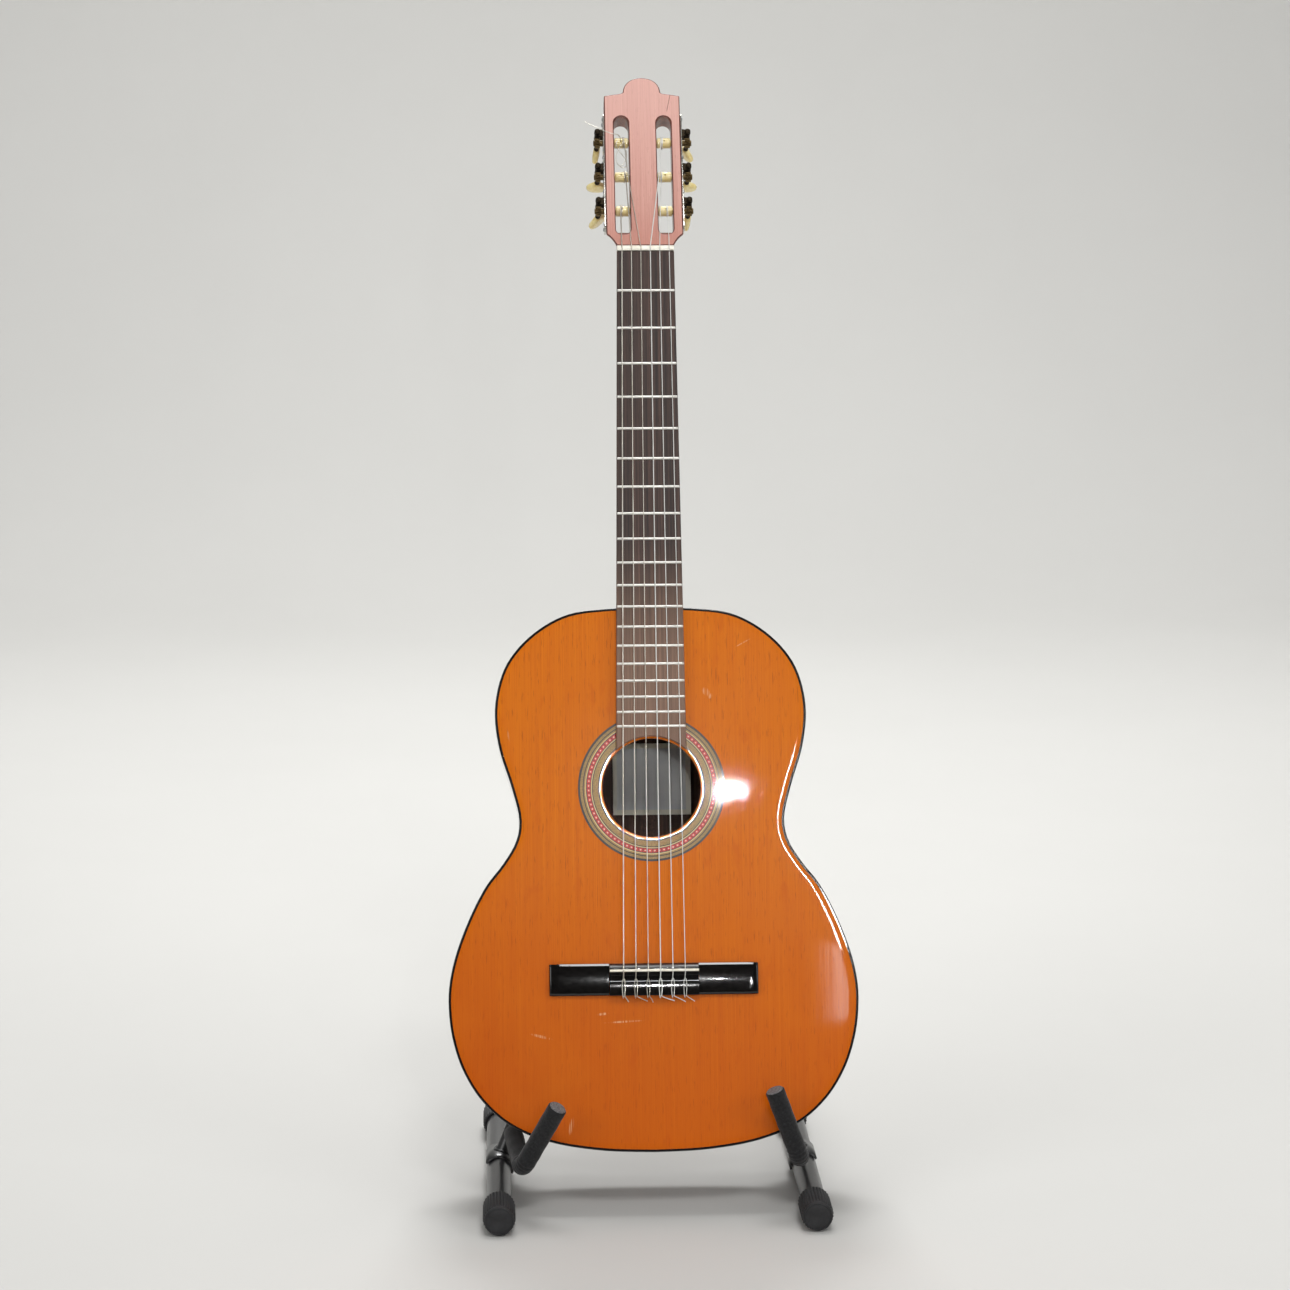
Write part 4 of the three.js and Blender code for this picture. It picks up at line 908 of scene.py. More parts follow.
def make_bridge():
    """Two curved wings, the centre with its tie block and saddle slot, and the saddle."""
    for name, side in SIDES.items():
        rings = []
        stations = ((CENTRE_HALF + 0.2, 1, 0), (84, 1, 0), (89, 0.98, 0.2), (92, 0.9, 0.5),
                    (93.3, 0.78, 1.0), (BRIDGE_HALF, 0.6, 1.2))
        for x, rise, pull in stations:
            low, high = BRIDGE_LOW + pull * 0.3, BRIDGE_HIGH - pull * 0.3
            top = 0.3 + 4.3 * rise
            crown = []
            for k in range(13):
                y = high - 1.2 - (high - low - 2.4) * k / 12
                crown.append((y, top - WING_FALL * (y - WING_CREST) ** 2))
            ring = [(high, 0.3), (high, top * 0.5), (high - 0.3, crown[0][1] - 0.5)] + crown
            ring += [(low + 0.3, crown[-1][1] - 0.5), (low, top * 0.5), (low, 0.3)]
            ring.reverse()
            rings.append([(side * x, y, z) for y, z in ring])
        if side > 0:
            rings = [list(reversed(r)) for r in rings]
        wing = build(f"bridge_wing_{name}", skin(rings), GUITAR, BRIDGE_BLACK, edge=60)
        settle(wing, "guitar", "bridge_black")
    outline_yz = [(139.2, 0.3), (139.2, 8.9), (139.7, 9.4), (140.4, 9.5), (151.3, 9.5), (152.1, 9.3),
                  (152.5, 8.8), (152.7, 4.4), (156.3, 4.4), (156.5, 7.4), (157, 8), (163.7, 8),
                  (164.4, 7.7), (167.7, 3.6), (167.9, 2.8), (167.9, 0.3)]
    centre = build("bridge_centre", across(outline_yz, -CENTRE_HALF, CENTRE_HALF), GUITAR, BRIDGE_BLACK)
    slot = box((-CENTRE_HALF - 1, CENTRE_HALF + 1), (SADDLE_Y - 1.2, SADDLE_Y + 1.2), (3.5, 12))
    carved(centre, [slot])
    bevelled(centre, 0.3)
    settle(centre, "guitar", "bridge_black", "bridge")
    edging = across(((151.7, 9.4), (152.25, 9.25), (152.3, 9.42), (151.75, 9.6)),
                    -CENTRE_HALF + 0.4, CENTRE_HALF - 0.4)
    settle(build("tie_block_edging", edging, GUITAR, ZINC), "guitar", "rivet_steel")
    top = [(SADDLE_Y - 1.1, 3.8), (SADDLE_Y + 1.1, 3.8), (SADDLE_Y + 1.1, 13.4)]
    top += arc(SADDLE_Y, 13.1, 1.1, 0.2, pi - 0.2, 6) + [(SADDLE_Y - 1.1, 13.4)]
    saddle = build("saddle_bone", across(top, -CENTRE_HALF + 0.3, CENTRE_HALF - 0.3), GUITAR, BONE)
    settle(bevelled(saddle, 0.3), "guitar", "bone", "saddle")


def make_knots():
    """Each string's loop over the tie block and its short tail towards the right."""
    shaker = random.Random(7)
    for i, r in enumerate(STRING_RADII):
        x = string_x(i, SADDLE_SPACING)
        reach = (3, 9, 3, 11, 10, 7)[i]
        top = 9.75 + r
        loop = [(0, 137.6, 5), (-0.2, 136.9, 6.8), (-0.6, 137.7, 9.2), (-0.9, 140, top), (-1.2, 145, top),
                (-1.2, 150, top), (-0.8, 153, top + 0.3), (0.1, 154.4, 10.6), (0.9, 153, top + 0.5),
                (1.3, 150, top), (1.3, 144.5, top), (1, 140.6, top), (1.2, 138.4, 9.6),
                (1.4 + reach * 0.45, 136.2, 8.2), (1.4 + reach, 134.4 - 2.2 * shaker.random(), 7)]
        loop = [(x + dx, y, z) for dx, y, z in loop]
        material, slot = string_look(i)
        knot = build(f"knot_{i + 1}", bar(smooth(loop, 5), r * 0.9, 8), GUITAR, material)
        settle(knot, "guitar", slot)


make_bridge()
make_knots()

# ---------------------------------------------------------------- neck, fingerboard and head


def board_half(y):
    return NUT_HALF + (JOINT_HALF - NUT_HALF) * (NUT_Y - y) / (NUT_Y - BODY_LENGTH)


def fret_y(fret):
    return NUT_Y - SCALE_LENGTH * (1 - 2 ** (-fret / 12))


def head_outline(lift=0.0):
    right = [(NUT_HALF - lift * 0.5, 6)]
    right += curve((26 - lift * 0.5, 6), (27.6, 9.6 + lift), (30.6, 14.6 + lift), (34.2, 16.8 + lift), 8)
    right += curve((34.2, 16.8 + lift), (34.8, 17.2 + lift), (35, 17.8 + lift), (35, 19 + lift), 3)
    right += [(35, 158.0)] + curve((35, 158), (35, 159.5), (34.6, 160), (33.2, 160.1), 5)
    right += [(26, 161.3)] + curve((26, 161.3), (22, 161.9), (18.6, 161.8), (17.3, 163.6), 5)
    right += curve((17.3, 163.6), (17.0, 171.5), (11, 178.6), (0, 178.6), 14)
    return right + [(-x, y) for x, y in reversed(right[:-1])]


def slot_outline(side):
    middle = side * (SLOT_IN + SLOT_OUT) / 2
    half = (SLOT_OUT - SLOT_IN) / 2
    low = arc(middle - half + 5, SLOT_LOW + 5, 5, pi, 1.5 * pi, 8)
    low += arc(middle + half - 5, SLOT_LOW + 5, 5, 1.5 * pi, 2 * pi, 8)
    return low + arc(middle, SLOT_HIGH - half, half, 0, pi, 20)


def make_head():
    """The slotted head: a rounded block under a veneered face."""
    slots = [prism(slot_outline(side), -HEAD_THICK - 5, 5) for side in (-1, 1)]
    bores = []
    for side in (-1, 1):
        for height in ROLLER_HEIGHTS:
            bores.append(bar([(side * x, height, ROLLER_Z) for x in (8.2, 37)], 3.3, 20))
    layers = [(-HEAD_THICK, 12), (-16, 9), (-12, 6), (-8, 3.4), (-5, 1.4), (-VENEER, 0)]
    rings = [[(x, y, t) for x, y in head_outline(lift)] for t, lift in layers]
    block = build("head_block", skin(rings), HEAD, NECK, edge=25)
    settle(bevelled(carved(block, slots + bores), 0.7), "guitar", "neck_wood")
    face = build("head_face", prism(head_outline(), -VENEER + 0.02, 0), HEAD, FACE)
    settle(bevelled(carved(face, slots), 0.9, segments=3, edge=FACE_EDGE), "guitar", "head_face",
           "head_veneer")


def make_neck():
    stations = [(488.3, 90.5), (489.2, 84), (491, 77), (494, 68.5), (498, 60), (502.5, 52), (508, 44.5),
                (514, 37.8), (521, 31.6), (529, 26.8), (538, 23.4), (549, 20.6), (562, 19), (590, 18.2),
                (620, 17.6), (700, 16.8), (780, 16), (807, 15.8), (816, 16.6), (824, 18), (832, 18.6)]
    rings = []
    for y, depth in stations:
        half = min(board_half(y), JOINT_HALF)
        top = min(0, 0.9 * (NUT_Y - y) * tan(HEAD_TILT))
        rings.append([(half * power(cos(a), 0.9), y, top - (depth + top) * sin(a) ** 0.92)
                      for a in (pi * i / 32 for i in range(33))])
    shaft = build("neck_shaft", skin(rings), GUITAR, NECK, edge=50)
    settle(shaft, "guitar", "neck_wood", "neck")


def make_fingerboard():
    """The board around the soundhole's edge, its frets and the grooved nut."""
    radius = HOLE_R + 1.7
    half = board_half(HOLE_Y + 34)
    angle = acos(half / radius)
    end = HOLE_Y + radius * sin(angle)
    rim = [(NUT_HALF, NUT_Y), (-NUT_HALF, NUT_Y), (-half, end)]
    rim += arc(0, HOLE_Y, radius, pi - angle, angle, 24)[1:-1] + [(half, end)]
    board = build("fingerboard_wood", prism(rim, SEAM, BOARD_TOP), GUITAR, ROSEWOOD)
    settle(bevelled(board, 0.9, segments=3), "guitar", "rosewood", "fingerboard")
    wires = []
    for fret in range(1, 20):
        y = fret_y(fret)
        half = board_half(y) - 0.35
        crown = [(y - 1.05, BOARD_TOP - 0.5)] + arc(y, BOARD_TOP - 0.1, 1.15, pi * 0.95, pi * 0.05, 8)
        crown += [(y + 1.05, BOARD_TOP - 0.5)]
        rings = []
        for x, drop in ((-half, 0.75), (-half + 0.5, 0.25), (-half + 1.2, 0), (half - 1.2, 0),
                        (half - 0.5, 0.25), (half, 0.75)):
            rings.append([(x, py, max(pz - drop, BOARD_TOP - 0.5)) for py, pz in reversed(crown)])
        wires.append(skin(rings))
    settle(build("frets", merged(*wires), GUITAR, SILVER, edge=60), "guitar", "plated_steel")
    low, high = NUT_Y + 0.3, NUT_Y + 5
    rim = [(low, 0.3), (high, 0.3), (high, 7.0), (high - 0.5, 7.9), (high - 1.6, 8.4), (low + 0.6, NUT_TOP),
           (low, 8.4)]
    nut = build("nut_bone", across(rim, -NUT_HALF + 0.2, NUT_HALF - 0.2), GUITAR, BONE)
    grooves = []
    for i, r in enumerate(STRING_RADII):
        x = string_x(i, NUT_SPACING)
        grooves.append(box((x - r - 0.15, x + r + 0.15), (low - 1, high + 1), (8.05, 12)))
    settle(bevelled(carved(nut, grooves), 0.25), "guitar", "bone", "nut")


make_head()
make_neck()
make_fingerboard()

# ---------------------------------------------------------------- tuning machines


def make_plate(name, side):
    """A side plate of the tuning machines with its worm lugs and screw heads."""
    inner, outer = HEAD_HALF + 0.3, HEAD_HALF + 1.5
    rim = []
    corners = ((24, -17.5), (142, -17.5), (142, -0.8), (24, -0.8))
    for k, (h, t) in enumerate(corners):
        ch, ct = (h + 3 if h < 80 else h - 3), (t + 3 if t < -9 else t - 3)
        start = pi + k * pi / 2
        rim += arc(ch, ct, 3, start, start + pi / 2, 5)
    sheet = build(f"plate_{name}", across(rim, side * inner, side * outer), HEAD, PLATE)
    bevelled(sheet, 0.3)
    settle(sheet, "guitar", "plated_steel", f"tuner_plate_{name}")
    lugs = []
    for height in ROLLER_HEIGHTS:
        worm_h = height + WORM_RISE
        for way in (-1, 1):
            t = ROLLER_Z + way * 5.8
            points = [(side * outer, worm_h - 3.6), (side * (WORM_X - 0.5), worm_h - 3.0)]
            points += [(side * (WORM_X + 0.2 + 2.7 * cos(a)), worm_h + 3.0 * sin(a))
                       for a in [-pi / 2 + pi * i / 10 for i in range(11)]]
            points += [(side * (WORM_X - 0.5), worm_h + 3.0), (side * outer, worm_h + 3.6)]
            if side < 0:
                points.reverse()
            lugs.append(prism(points, t - 0.8, t + 0.8))
    settle(build(f"plate_lugs_{name}", merged(*lugs), HEAD, WORM), "guitar", "worm_steel")
    screws = []
    for height in (29, 62.5, 97.5, 137):
        for t in (-14.6, -3.6):
            profile = [(0, 0), (2.1, 0), (2.0, 0.35), (1.4, 0.75), (0.6, 0.92), (0, 0.95)]
            head_part = lathe(profile, 16)
            screws.append(moved(head_part, side * outer, height, t, turn("Z", -side * pi / 2)))
    settle(build(f"plate_screws_{name}", merged(*screws), HEAD, ZINC), "guitar", "plated_steel")


TEETH = 14
TOOTH = [(3.4, -0.02), (3.5, 0.12), (4.35, 0.32), (4.6, 0.42), (4.6, 0.58), (4.35, 0.68), (3.5, 0.88)]


def make_machine(side_name, side, index):
    """One roller with its gear, and the worm that turns it."""
    name = f"{side_name}_{index + 1}"
    height = ROLLER_HEIGHTS[index]
    place = HEAD @ placed(0, height, ROLLER_Z)
    flip = turn("Z", -side * pi / 2)
    profile = [(0, 8.6), (2.6, 8.6), (3, 9), (3, 13.4), (3.2, 13.4), (4.4, 13.5), (4.8, 14), (4.8, 25.3),
               (4.4, 25.8), (3, 25.9), (3, 34.9), (0, 34.9)]
    barrel = build(f"roller_{name}", moved(lathe(profile, 32), turn=flip), place, IVORY)
    hole_x = side * 20.2
    carved(barrel, [bar([(hole_x, 0, -8), (hole_x, 0, 8)], 0.9, 12)])
    settle(barrel, f"roller_{name}", "ivory_plastic", f"string_roller_{name}")
    teeth = []
    for tooth in range(TEETH):
        for radius, phase in TOOTH:
            a = (tooth + phase) * 2 * pi / TEETH
            teeth.append((radius * cos(a), radius * sin(a)))
    rings = [[(side * x, y, z) for y, z in teeth] for x in (39.2, 44)]
    if side < 0:
        rings.reverse()
    gear = skin(rings)
    hub = [(0, 34.9), (2.9, 34.9), (2.9, 44.6), (2.4, 45.3), (0, 45.3)]
    wheel = build(f"gear_{name}", merged(gear, moved(lathe(hub, 24), turn=flip)), place, BRASS)
    settle(bevelled(wheel, 0.18, segments=1, angle=30), f"roller_{name}", "worm_steel")
    worm_place = HEAD @ placed(side * WORM_X, height + WORM_RISE, ROLLER_Z)
    shaft = [(0, BUTTON_FRONT + 0.3), (2.2, BUTTON_FRONT + 0.3), (2.4, BUTTON_FRONT + 0.9),
             (2.4, BUTTON_FRONT + 2.2), (1.8, BUTTON_FRONT + 3.2), (1.5, BUTTON_FRONT + 4.2), (1.5, -4.8),
             (2.0, -4.6), (2.0, 4.6), (1.5, 4.8), (1.5, 6.9), (1.9, 7.3), (2.6, 8.2), (2.75, 9), (2.5, 9.9),
             (1.7, 10.6), (0, 10.8)]
    spine = moved(lathe(shaft, 24), turn=turn("X", pi / 2))
    helix = []
    for i in range(97):
        a = 2 * pi * 4 * i / 96
        helix.append((2.12 * cos(a), -side * 2.12 * sin(a), -4.1 + 8.2 * i / 96))
    worm = build(f"worm_{name}", merged(spine, bar(helix, 0.5, 8)), worm_place, WORM, edge=50)
    settle(worm, f"tuner_{name}", "worm_steel", f"worm_shaft_{name}")


BUTTON_TURNS = {"left": (40, 0, 80), "right": (80, 0, -50)}
BUTTON_STATIONS = [(0, 2.4, 2.0), (0.35, 3.1, 2.6), (1.4, 3.9, 2.8), (2.8, 5.6, 2.9), (4.4, 7.8, 3.0),
                   (6.2, 9.3, 3.1), (8, 9.85, 3.1), (9.8, 9.7, 3.05), (11.6, 8.9, 2.9), (13.2, 7.4, 2.6),
                   (14.6, 5.4, 2.2), (15.5, 3.3, 1.6), (15.9, 1.4, 0.8)]


def make_button(side_name, side, index):
    """One tuner button, turned to its angle at rest."""
    name = f"{side_name}_{index + 1}"
    rings = []
    for back, half, thick in BUTTON_STATIONS:
        rings.append([(half * power(cos(a), 0.72), thick * power(sin(a), 0.6), BUTTON_FRONT - back)
                      for a in whole_turn(40)])
    place = HEAD @ placed(side * WORM_X, ROLLER_HEIGHTS[index] + WORM_RISE, ROLLER_Z)
    place = place @ turn("Z", radians(BUTTON_TURNS[side_name][index]))
    shape = skin(list(reversed(rings)))
    button = build(f"button_{name}", shape, place, IVORY, edge=60)
    settle(button, f"tuner_{name}", "ivory_plastic", f"tuner_button_{name}")


for name, side in SIDES.items():
    make_plate(name, side)
    for index in range(3):
        make_machine(name, side, index)
        make_button(name, side, index)

# ---------------------------------------------------------------- strings

ROLLER_ENDS = [(-21.6, 0), (-16.2, 1), (-17.2, 2), (17.2, 2), (16.2, 1), (21.6, 0)]
WINDING_STEPS = 32  # twentieths of a turn
HEAD_IN_GUITAR = Matrix.Translation((0, HEAD_Y, HEAD_Z)) @ Matrix.Rotation(-HEAD_TILT, 4, "X")


def make_string(i):
    """A string from the tie block to its roller, and its winding there."""
    r = STRING_RADII[i]
    end_x, roller = ROLLER_ENDS[i]
    saddle_x, nut_x = string_x(i, SADDLE_SPACING), string_x(i, NUT_SPACING)
    points = [
        (saddle_x, 137.5, 5), (saddle_x, 153.1, 5), (saddle_x, 159.4, SADDLE_TOP + 0.75),
        (saddle_x, 160.9, SADDLE_TOP + 0.5 + r), (saddle_x, 162.2, SADDLE_TOP + 0.3 + r),
        (nut_x, NUT_Y + 0.6, 8.3 + r), (nut_x, NUT_Y + 3.6, 8.2 + r),
    ]
    if roller == 2:
        points.append(HEAD_IN_GUITAR @ Vector((copysign(13.9, end_x), 74, 0.45 + r)))
    reach = ROLLER_R + 0.1 + r
    points.append(HEAD_IN_GUITAR @ Vector((end_x, ROLLER_HEIGHTS[roller], ROLLER_Z + reach)))
    material, slot = string_look(i)
    line = build(f"string_line_{i + 1}", bar(points, r, 12), GUITAR, material, edge=60)
    settle(line, "guitar", slot, f"string_{i + 1}")
    side = "left" if end_x < 0 else "right"
    body = f"roller_{side}_{roller + 1}"
    away = -1 if abs(end_x) > 18 else 1
    away *= 1 if end_x > 0 else -1
    coil = []
    for k in range(WINDING_STEPS + 1):
        a = 2 * pi * k / 20
        coil.append((end_x + away * (2 * r + 0.12) * k / 20, reach * sin(a), reach * cos(a)))
    place = HEAD @ placed(0, ROLLER_HEIGHTS[roller], ROLLER_Z)
    settle(build(f"winding_{i + 1}", bar(coil, r, 8), place, material, edge=60), body, slot)


def make_tails():
    """Loose ends at the left top roller: one sticks out past the plate, two loops hang in the slot."""
    place = HEAD @ placed(0, ROLLER_HEIGHTS[2], ROLLER_Z)
    tails = [
        [(-20.2, 0, 5), (-21, 2.5, 8), (-24, 3, 12.2), (-29, 3, 13.6), (-38, 7, 14), (-48, 12.5, 13),
         (-53, 16, 12)],
        [(-20.2, 0, 5), (-18.5, -4, 8.5), (-22, -10, 9), (-25, -19, 8), (-22, -26.5, 6.5), (-17, -23, 6.2),
         (-15, -14, 6.6), (-17, -7, 6.4)],
        [(-23, 0, 5.6), (-24.6, -6, 8), (-21, -14, 8.8), (-16, -20, 7), (-15, -25.5, 5.2),
         (-19, -27.5, 4.6), (-23.4, -24, 5.2)],
    ]
    for k, tail in enumerate(tails):
        settle(build(f"string_tail_{k + 1}", bar(smooth(tail, 8), 0.33, 8), place, WOUND, edge=60),
               "roller_left_3", "wound_string")


for i in range(6):
    make_string(i)
make_tails()

# ---------------------------------------------------------------- stand


def post_point(z):
    return Vector((0, z * tan(POST_LEAN), z))


HINGE_Z = CAP_R + (FOOT_X * cos(FRAME_TILT) - HINGE_OFFSET) / sin(FRAME_TILT)
HINGE_Y = (POST_TOP + 12) * tan(POST_LEAN)


def make_foot(name):
    """The floor tube and its two caps: a flat disc, then a ribbed sleeve over the tube's end."""
    body = f"{name}_frame"
    end = [(9.4, -TUBE_HALF), (TUBE_R - 0.4, -TUBE_HALF), (TUBE_R, -TUBE_HALF + 0.4)]
    wall = end + [(radius, -along) for radius, along in reversed(end)]
    tube = build(f"foot_tube_{name}", lathe(list(reversed(wall)), 48), FOOT[name], TUBE)
    settle(tube, body, "gloss_tube", f"floor_tube_{name}")
    segments = CAP_RIBS * 6
    disc = [(0.01, 0.1), (6, 0.12), (10.6, 0.3), (11.2, 0.75), (11.6, 0.75), (11.9, 0.25), (12.6, 0.4),
            (13.2, 1.2), (13.4, 2.4), (13.0, 3.3)]
    rings = [circle(radius, along, segments) for radius, along in disc]
    for along, base, depth in ((3.9, 13.25, 0), (4.6, 13.35, 0.3), (5.4, 13.35, 1), (39.6, 13.35, 1),
                               (41, 13.35, 0.6), (42.4, 13, 0)):
        ring = []
        for a in whole_turn(segments):
            radius = base + RIB_RISE * depth * (0.5 + 0.5 * cos(a * CAP_RIBS)) ** 0.6
            ring.append((radius * sin(a), along, radius * cos(a)))
        rings.append(ring)
    bottom = CAP_DISC + 1.5
    for radius, along in ((12.9, CAP_LONG), (11.35, CAP_LONG), (11.3, bottom), (0.01, bottom)):
        rings.append(circle(radius, along, segments))
    for end, way in (("front", -1), ("rear", 1)):
        place = FOOT[name] @ placed(0, way * (TUBE_HALF + 0.3 + CAP_DISC + 0.3), 0)
        if way > 0:
            place = place @ turn("Z", pi)
        cap = build(f"cap_{end}_{name}", skin(rings), place, RUBBER, edge=45)
        settle(cap, body, "rubber", f"floor_cap_{end}_{name}")


def make_post(name):
    """The upright with the saddle that joins it to the floor tube, and the weld between."""
    body = f"{name}_frame"
    points = [post_point(z) for z in (9.5, 30, 150, POST_TOP - 6, POST_TOP)]
    post = build(f"post_{name}", domed(points, POST_R, 40, 1.6), SIDE[name], PAINT)
    settle(post, body, "black_paint", f"upright_{name}")
    half_turn = [pi * (i / 24) for i in range(25)]
    rings = []
    for y, lift in ((-19, 0), (-18.6, 0.6), (-17.8, 1), (17.8, 1), (18.6, 0.6), (19, 0)):
        outer = [((11.4 + 2 * lift) * cos(a), y, 1.6 + (9.8 + 2 * lift) * sin(a)) for a in half_turn]
        rings.append(outer + [(11.3 * cos(a), y, 1.6 + 9.7 * sin(a)) for a in reversed(half_turn)])
    saddle = build(f"post_saddle_{name}", skin(rings), SIDE[name], PAINT, edge=50)
    settle(saddle, body, "black_paint")
    weld = []
    shaker = random.Random(3)
    for k in range(73):
        a = 2 * pi * k / 72
        x, y = (POST_R + 0.9) * cos(a), (POST_R + 0.9) * 1.04 * sin(a)
        z = sqrt(max(13.4**2 - x * x, 0)) + 0.5
        weld.append((x, y + z * tan(POST_LEAN), z + 0.25 * shaker.random()))
    settle(build(f"post_weld_{name}", bar(weld, 1.3, 10), SIDE[name], PAINT), body, "black_paint")


def arm_line(name, start, tip_cut):
    """The bent arm's centre line from start to the prong's tip, less tip_cut."""
    side = SIDES[name]
    swing, lean, inward = (radians(a) for a in ARM_SETS[name])

    def level(y):
        return ARM_REAR_Z + (ARM_BEND_Z - ARM_REAR_Z) * y / ARM_BEND_Y

    rear = Vector((0, start, level(start)))
    corner = Vector((0, ARM_BEND_Y, ARM_BEND_Z))
    along = (corner - rear).normalized()
    up = turn("Y", -side * inward) @ Vector((0, -sin(lean), cos(lean)))
    bend = along.angle(up)
    bend_start = corner - along * BEND_R * tan(bend / 2)
    inner = (up - along * up.dot(along)).normalized()
    centre = bend_start + inner * BEND_R
    points = [rear + (bend_start - rear) * i / 6 for i in range(6)]
    for i in range(13):
        a = bend * i / 12
        points.append(centre - inner * BEND_R * cos(a) + along * BEND_R * sin(a))
    tip = corner + up * (PRONG - tip_cut)
    last = points[-1]
    points += [last + (tip - last) * i / 6 for i in range(1, 7)]
    pivot = Vector((0, ARM_REAR_Z * tan(POST_LEAN), ARM_REAR_Z))
    swinging = turn("Z", -side * swing)
    return [swinging @ (p - pivot) + pivot for p in points]


ARM_ROOT = ARM_REAR_Z * tan(POST_LEAN) - POST_R - 0.6


def make_arm(name, side):
    """The cradle arm's rod, its foam sleeve and the worn plug at the prong's tip."""
    body = f"{name}_frame"
    line = arm_line(name, ARM_ROOT + 2.4, 4)
    rod = build(f"arm_rod_{name}", bar(line, ROD_R, 24), SIDE[name], PAINT, edge=60)
    settle(rod, body, "black_paint", f"cradle_arm_{name}")
    line = arm_line(name, ARM_ROOT - 4, 0)
    points, radii = [], []
    phase = random.Random(11 + side).random() * 6
    total = len(line) - 1
    for k in range(total * 4 + 1):
        i = min(k // 4, total - 1)
        points.append(line[i].lerp(line[i + 1], k / 4 - i))
        radii.append(SLEEVE_R - 0.16 + 0.12 * sin(k * 0.9 + phase) + 0.05 * sin(k * 2.3))
    start, start_r = end_edge(points[0], (points[1] - points[0]).normalized(), SLEEVE_R, 1.3, (0, 0.5, 1))
    end, end_r = end_edge(points[-1], (points[-2] - points[-1]).normalized(), SLEEVE_R, 1.3, (1, 0.5, 0))
    sleeve = build(f"sleeve_{name}", bar(start + points[2:-2] + end, start_r + radii[2:-2] + end_r, 32),
                   SIDE[name], FOAM, edge=50)
    settle(sleeve, body, "foam", f"cradle_sleeve_{name}")
    tip, along = line[-1], (line[-1] - line[-2]).normalized()
    profile = [(0, -3.5), (5.6, -3.5), (5.6, 0.1), (7.4, 0.1), (7.6, 0.5), (7.2, 1.0), (5.4, 1.35),
               (0, 1.5)]
    plug = moved(lathe(profile, 32), *tip, turn=tipped(along))
    settle(build(f"prong_plug_{name}", plug, SIDE[name], PLUG), body, "rubber")


def make_pad(name):
    """The foam sleeve on the upright, against the guitar's back."""
    low, high = post_point(PAD_LOW), post_point(PAD_HIGH)
    length = (high - low).length
    profile = [(7.7, 0), (9.0, 0), (10.0, 0.6), (10.25, 1.6)]
    for k in range(24):
        h = 3 + (length - 6) * k / 23
        profile.append((10.15 + 0.1 * sin(k * 1.3) * sin(k * 0.37), h))
    profile += [(10.25, length - 1.6), (10.0, length - 0.6), (9.0, length), (7.7, length)]
    part = moved(lathe(profile, 40), *low, turn=tipped((high - low).normalized()))
    pad = build(f"pad_{name}", part, SIDE[name], FOAM)
    settle(pad, f"{name}_frame", "foam", f"back_sleeve_{name}")


def make_lug(name, side):
    """The hinge lug welded to an upright's top."""
    eye = Vector((-side * HINGE_OFFSET,
                  (HINGE_Z - CAP_R) * cos(FRAME_TILT) + FOOT_X * sin(FRAME_TILT)))
    weld = Vector((-side * 2, POST_TOP - 7))
    heading = atan2(weld.y - eye.y, weld.x - eye.x)
    rim = arc(eye.x, eye.y, 9, heading + pi / 2, heading + 1.5 * pi, 24)
    rim += arc(weld.x, weld.y, 5.5, heading - pi / 2, heading + pi / 2, 16)
    near = HINGE_Y + 0.3 if side > 0 else HINGE_Y - 6.3
    shape = skin([[(x, y, z) for x, z in rim] for y in (near + 6, near)])
    lug = build(f"lug_{name}", shape, SIDE[name], PAINT)
    hole = bar([(eye.x, near - 2, eye.y), (eye.x, near + 8, eye.y)], 4.2, 32)
    clear = bar([post_point(250), post_point(POST_TOP + 0.3)], POST_R + 0.02, 40)
    settle(bevelled(carved(lug, [hole, clear]), 0.6), f"{name}_frame", "black_paint", f"hinge_lug_{name}")


def make_rivet():
    """The rivet through both lugs, on the fold's axis."""
    reach = 6.6
    profile = [(0, -reach - 3), (2.5, -reach - 2.9), (4.8, -reach - 2.3), (6.4, -reach - 1.2), (7, -reach),
               (4, -reach), (4, reach), (7, reach), (6.4, reach + 1.2), (4.8, reach + 2.3),
               (2.5, reach + 2.9), (0, reach + 3)]
    place = placed(0, HINGE_Y + SHIFT_Y, HINGE_Z)
    rivet = build("rivet", lathe(profile, 40), place, ZINC, edge=60)
    settle(rivet, "left_frame", "rivet_steel", "hinge_rivet")


for name, side in SIDES.items():
    make_foot(name)
    make_post(name)
    make_arm(name, side)
    make_pad(name)
    make_lug(name, side)
make_rivet()

# ---------------------------------------------------------------- floor, light and camera


BACKDROP_HALF = 6000
BACKDROP_REACH = 5000
WALL_Y = 4000
WALL_TOP = 5000
COVE_R = 1200
DARK_HEADING = (0.02, -0.93, 0.37)  # the lacquered top mirrors this part of the sky


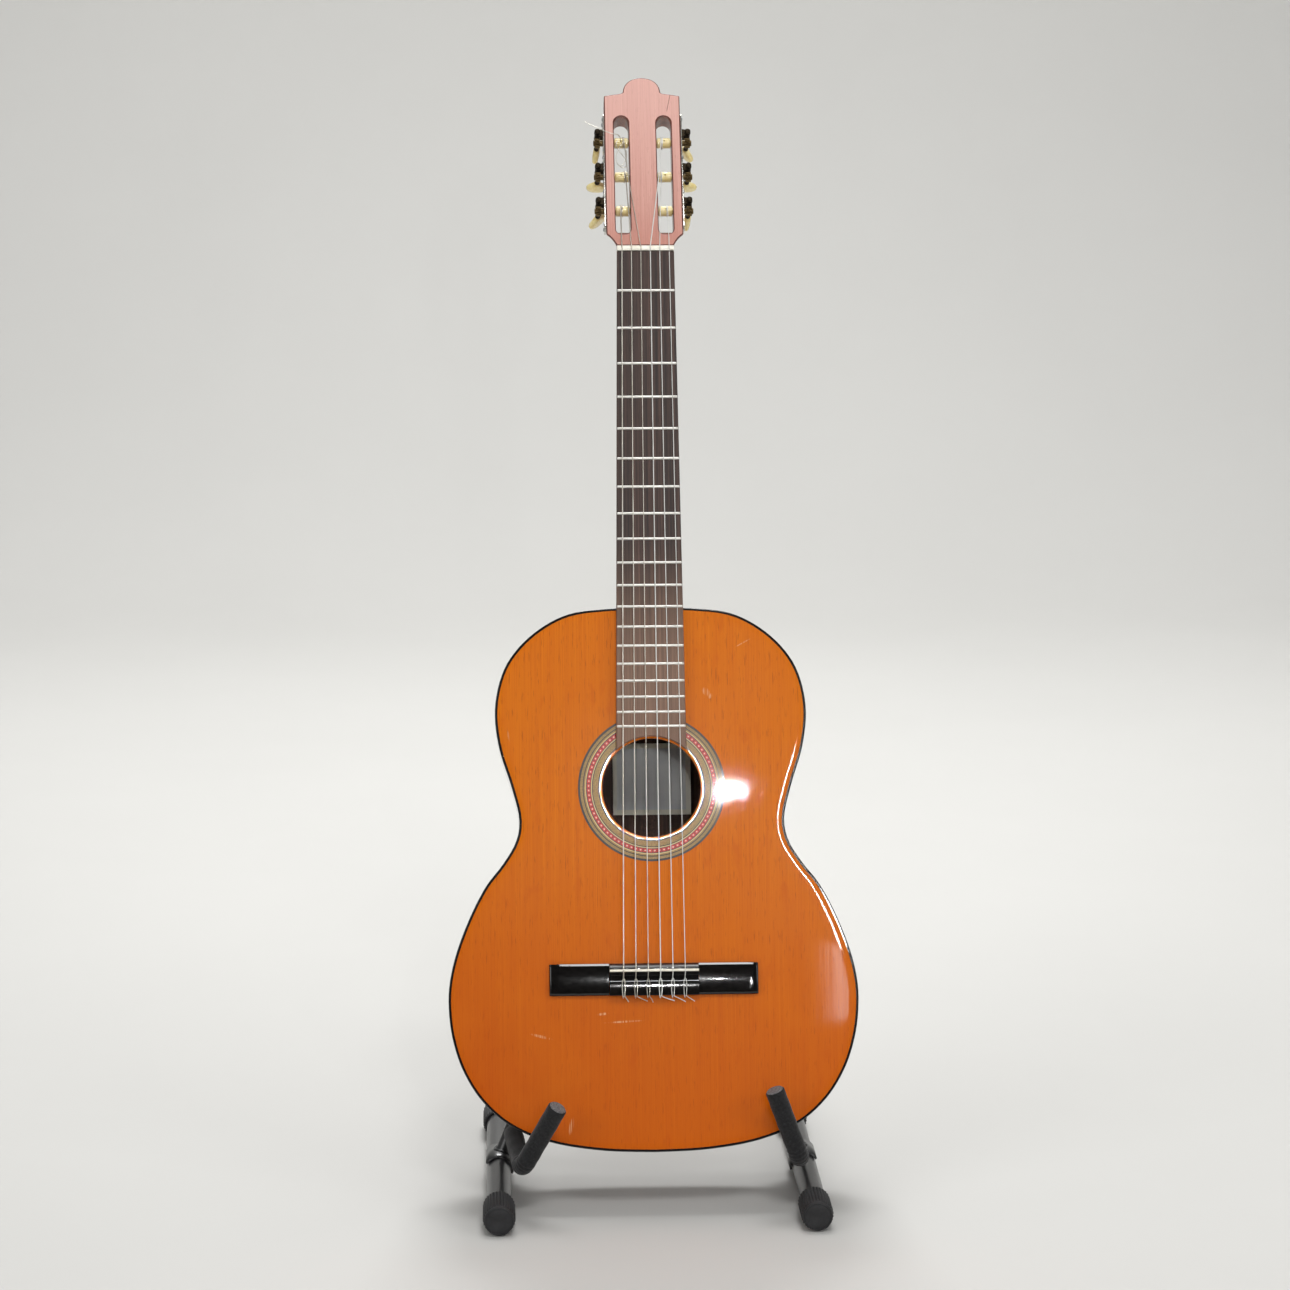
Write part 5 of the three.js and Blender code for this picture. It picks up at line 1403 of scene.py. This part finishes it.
def make_studio():
    """A curved paper backdrop under a pale sky that darkens around one direction."""
    look = Look("studio_paper", rough=0.85)
    cloud = look.noise(1.2, 4, 0.6)
    look.colour(look.ramp(cloud, (0.3, (0.59, 0.586, 0.566)), (0.7, (0.61, 0.606, 0.586))))
    cove = [pi / 32 * i for i in range(17)]
    profile = [(-BACKDROP_REACH, 0)]
    profile += [(WALL_Y - COVE_R + COVE_R * sin(a), COVE_R - COVE_R * cos(a)) for a in cove]
    profile += [(WALL_Y, WALL_TOP)]
    points = [(x, y, z) for x in (-BACKDROP_HALF, BACKDROP_HALF) for y, z in profile]
    count = len(profile)
    faces = [(i, i + count, i + count + 1, i + 1) for i in range(count - 1)]
    backdrop = build("backdrop", (points, faces), Matrix.Identity(4), look.mat, edge=60)
    world = bpy.data.worlds.new("studio")
    bpy.context.scene.world = world
    world.use_nodes = True
    nodes, links = world.node_tree.nodes, world.node_tree.links
    heading = nodes.new("ShaderNodeVectorMath")
    heading.operation = "DOT_PRODUCT"
    links.new(nodes.new("ShaderNodeTexCoord").outputs["Generated"], heading.inputs[0])
    heading.inputs[1].default_value = DARK_HEADING
    dark = nodes.new("ShaderNodeMapRange")
    dark.interpolation_type = "SMOOTHSTEP"
    links.new(heading.outputs["Value"], dark.inputs["Value"])
    for name, value in (("From Min", 0.62), ("From Max", 0.86), ("To Min", 0.3), ("To Max", 0.03)):
        dark.inputs[name].default_value = value
    links.new(dark.outputs["Result"], nodes["Background"].inputs["Strength"])
    nodes["Background"].inputs["Color"].default_value = (1.0, 0.99, 0.965, 1)


def area(name, place, target, width, height, watts):
    data = bpy.data.lights.new(name, "AREA")
    data.shape = "RECTANGLE"
    data.size, data.size_y, data.energy = width, height, watts
    obj = bpy.data.objects.new(name, data)
    bpy.context.scene.collection.objects.link(obj)
    obj.location = place
    obj.rotation_euler = (Vector(target) - Vector(place)).to_track_quat("-Z", "Y").to_euler()


MIRROR_DISTANCE = 2.6
CAMERA_PLACE = Vector((-139.8, -3112.3, 1074.6)) * MM


def make_camera():
    """The photograph's view."""
    yaw, pitch = radians(2.5), radians(10.6)
    forward = Vector((sin(yaw) * cos(pitch), cos(yaw) * cos(pitch), -sin(pitch)))
    data = bpy.data.cameras.new("camera")
    data.sensor_width = 36
    data.lens = 97.67
    camera = bpy.data.objects.new("camera", data)
    bpy.context.scene.collection.objects.link(camera)
    camera.location = CAMERA_PLACE
    camera.rotation_euler = forward.to_track_quat("-Z", "Y").to_euler()
    bpy.context.scene.camera = camera


def mirrored(place):
    """Where to hang a lamp for its reflection to show at a place in the guitar's frame, and that place."""
    spot = GUITAR @ (Vector(place) * MM)
    normal = (GUITAR.to_3x3() @ Vector((0, 0, 1))).normalized()
    ray = (spot - CAMERA_PLACE).normalized()
    return spot + (ray - 2 * ray.dot(normal) * normal) * MIRROR_DISTANCE, spot


# Name, place and target in metres, width, height and watts. A lamp without a place hangs where the
# soundboard mirrors it to the camera at the target, which is then in millimetres of the guitar's frame.
LAMPS = [
    ("key", (-2.6, -2.3, 1.7), (0, 0, 0.5), 1.8, 1.4, 26),
    ("fill", (2.7, -2.1, 1.6), (0, 0, 0.5), 1.6, 1.4, 21),
    ("front_top", (0.35, -2.2, 3.1), (0, 0, 0.5), 0.9, 0.7, 31),
    ("overhead", (0.05, 1.85, 2.7), (0, -0.1, 0), 1.0, 0.6, 46),
    ("overhead_near", (0.05, 0.45, 2.8), (0, -0.1, 0), 1.2, 0.8, 22),
    ("window", None, (69, 322, 0), 0.014, 0.019, 0.5),
    ("hole_lamp", None, (2, 328, 0), 0.02, 0.02, 6),
    ("wall", (0, 1.6, 3.6), (0, 4, 2.2), 3.6, 0.5, 92),
    ("side_window", None, (215, 268, 0), 0.04, 0.26, 4),
    ("low_window", None, (176, 150, 0), 0.06, 0.13, 0.12),
]

make_studio()
make_camera()
for name, place, target, *size_and_watts in LAMPS:
    if place is None:
        place, target = mirrored(target)
    area(name, place, target, *size_and_watts)
bpy.context.scene.view_settings.view_transform = "Standard"
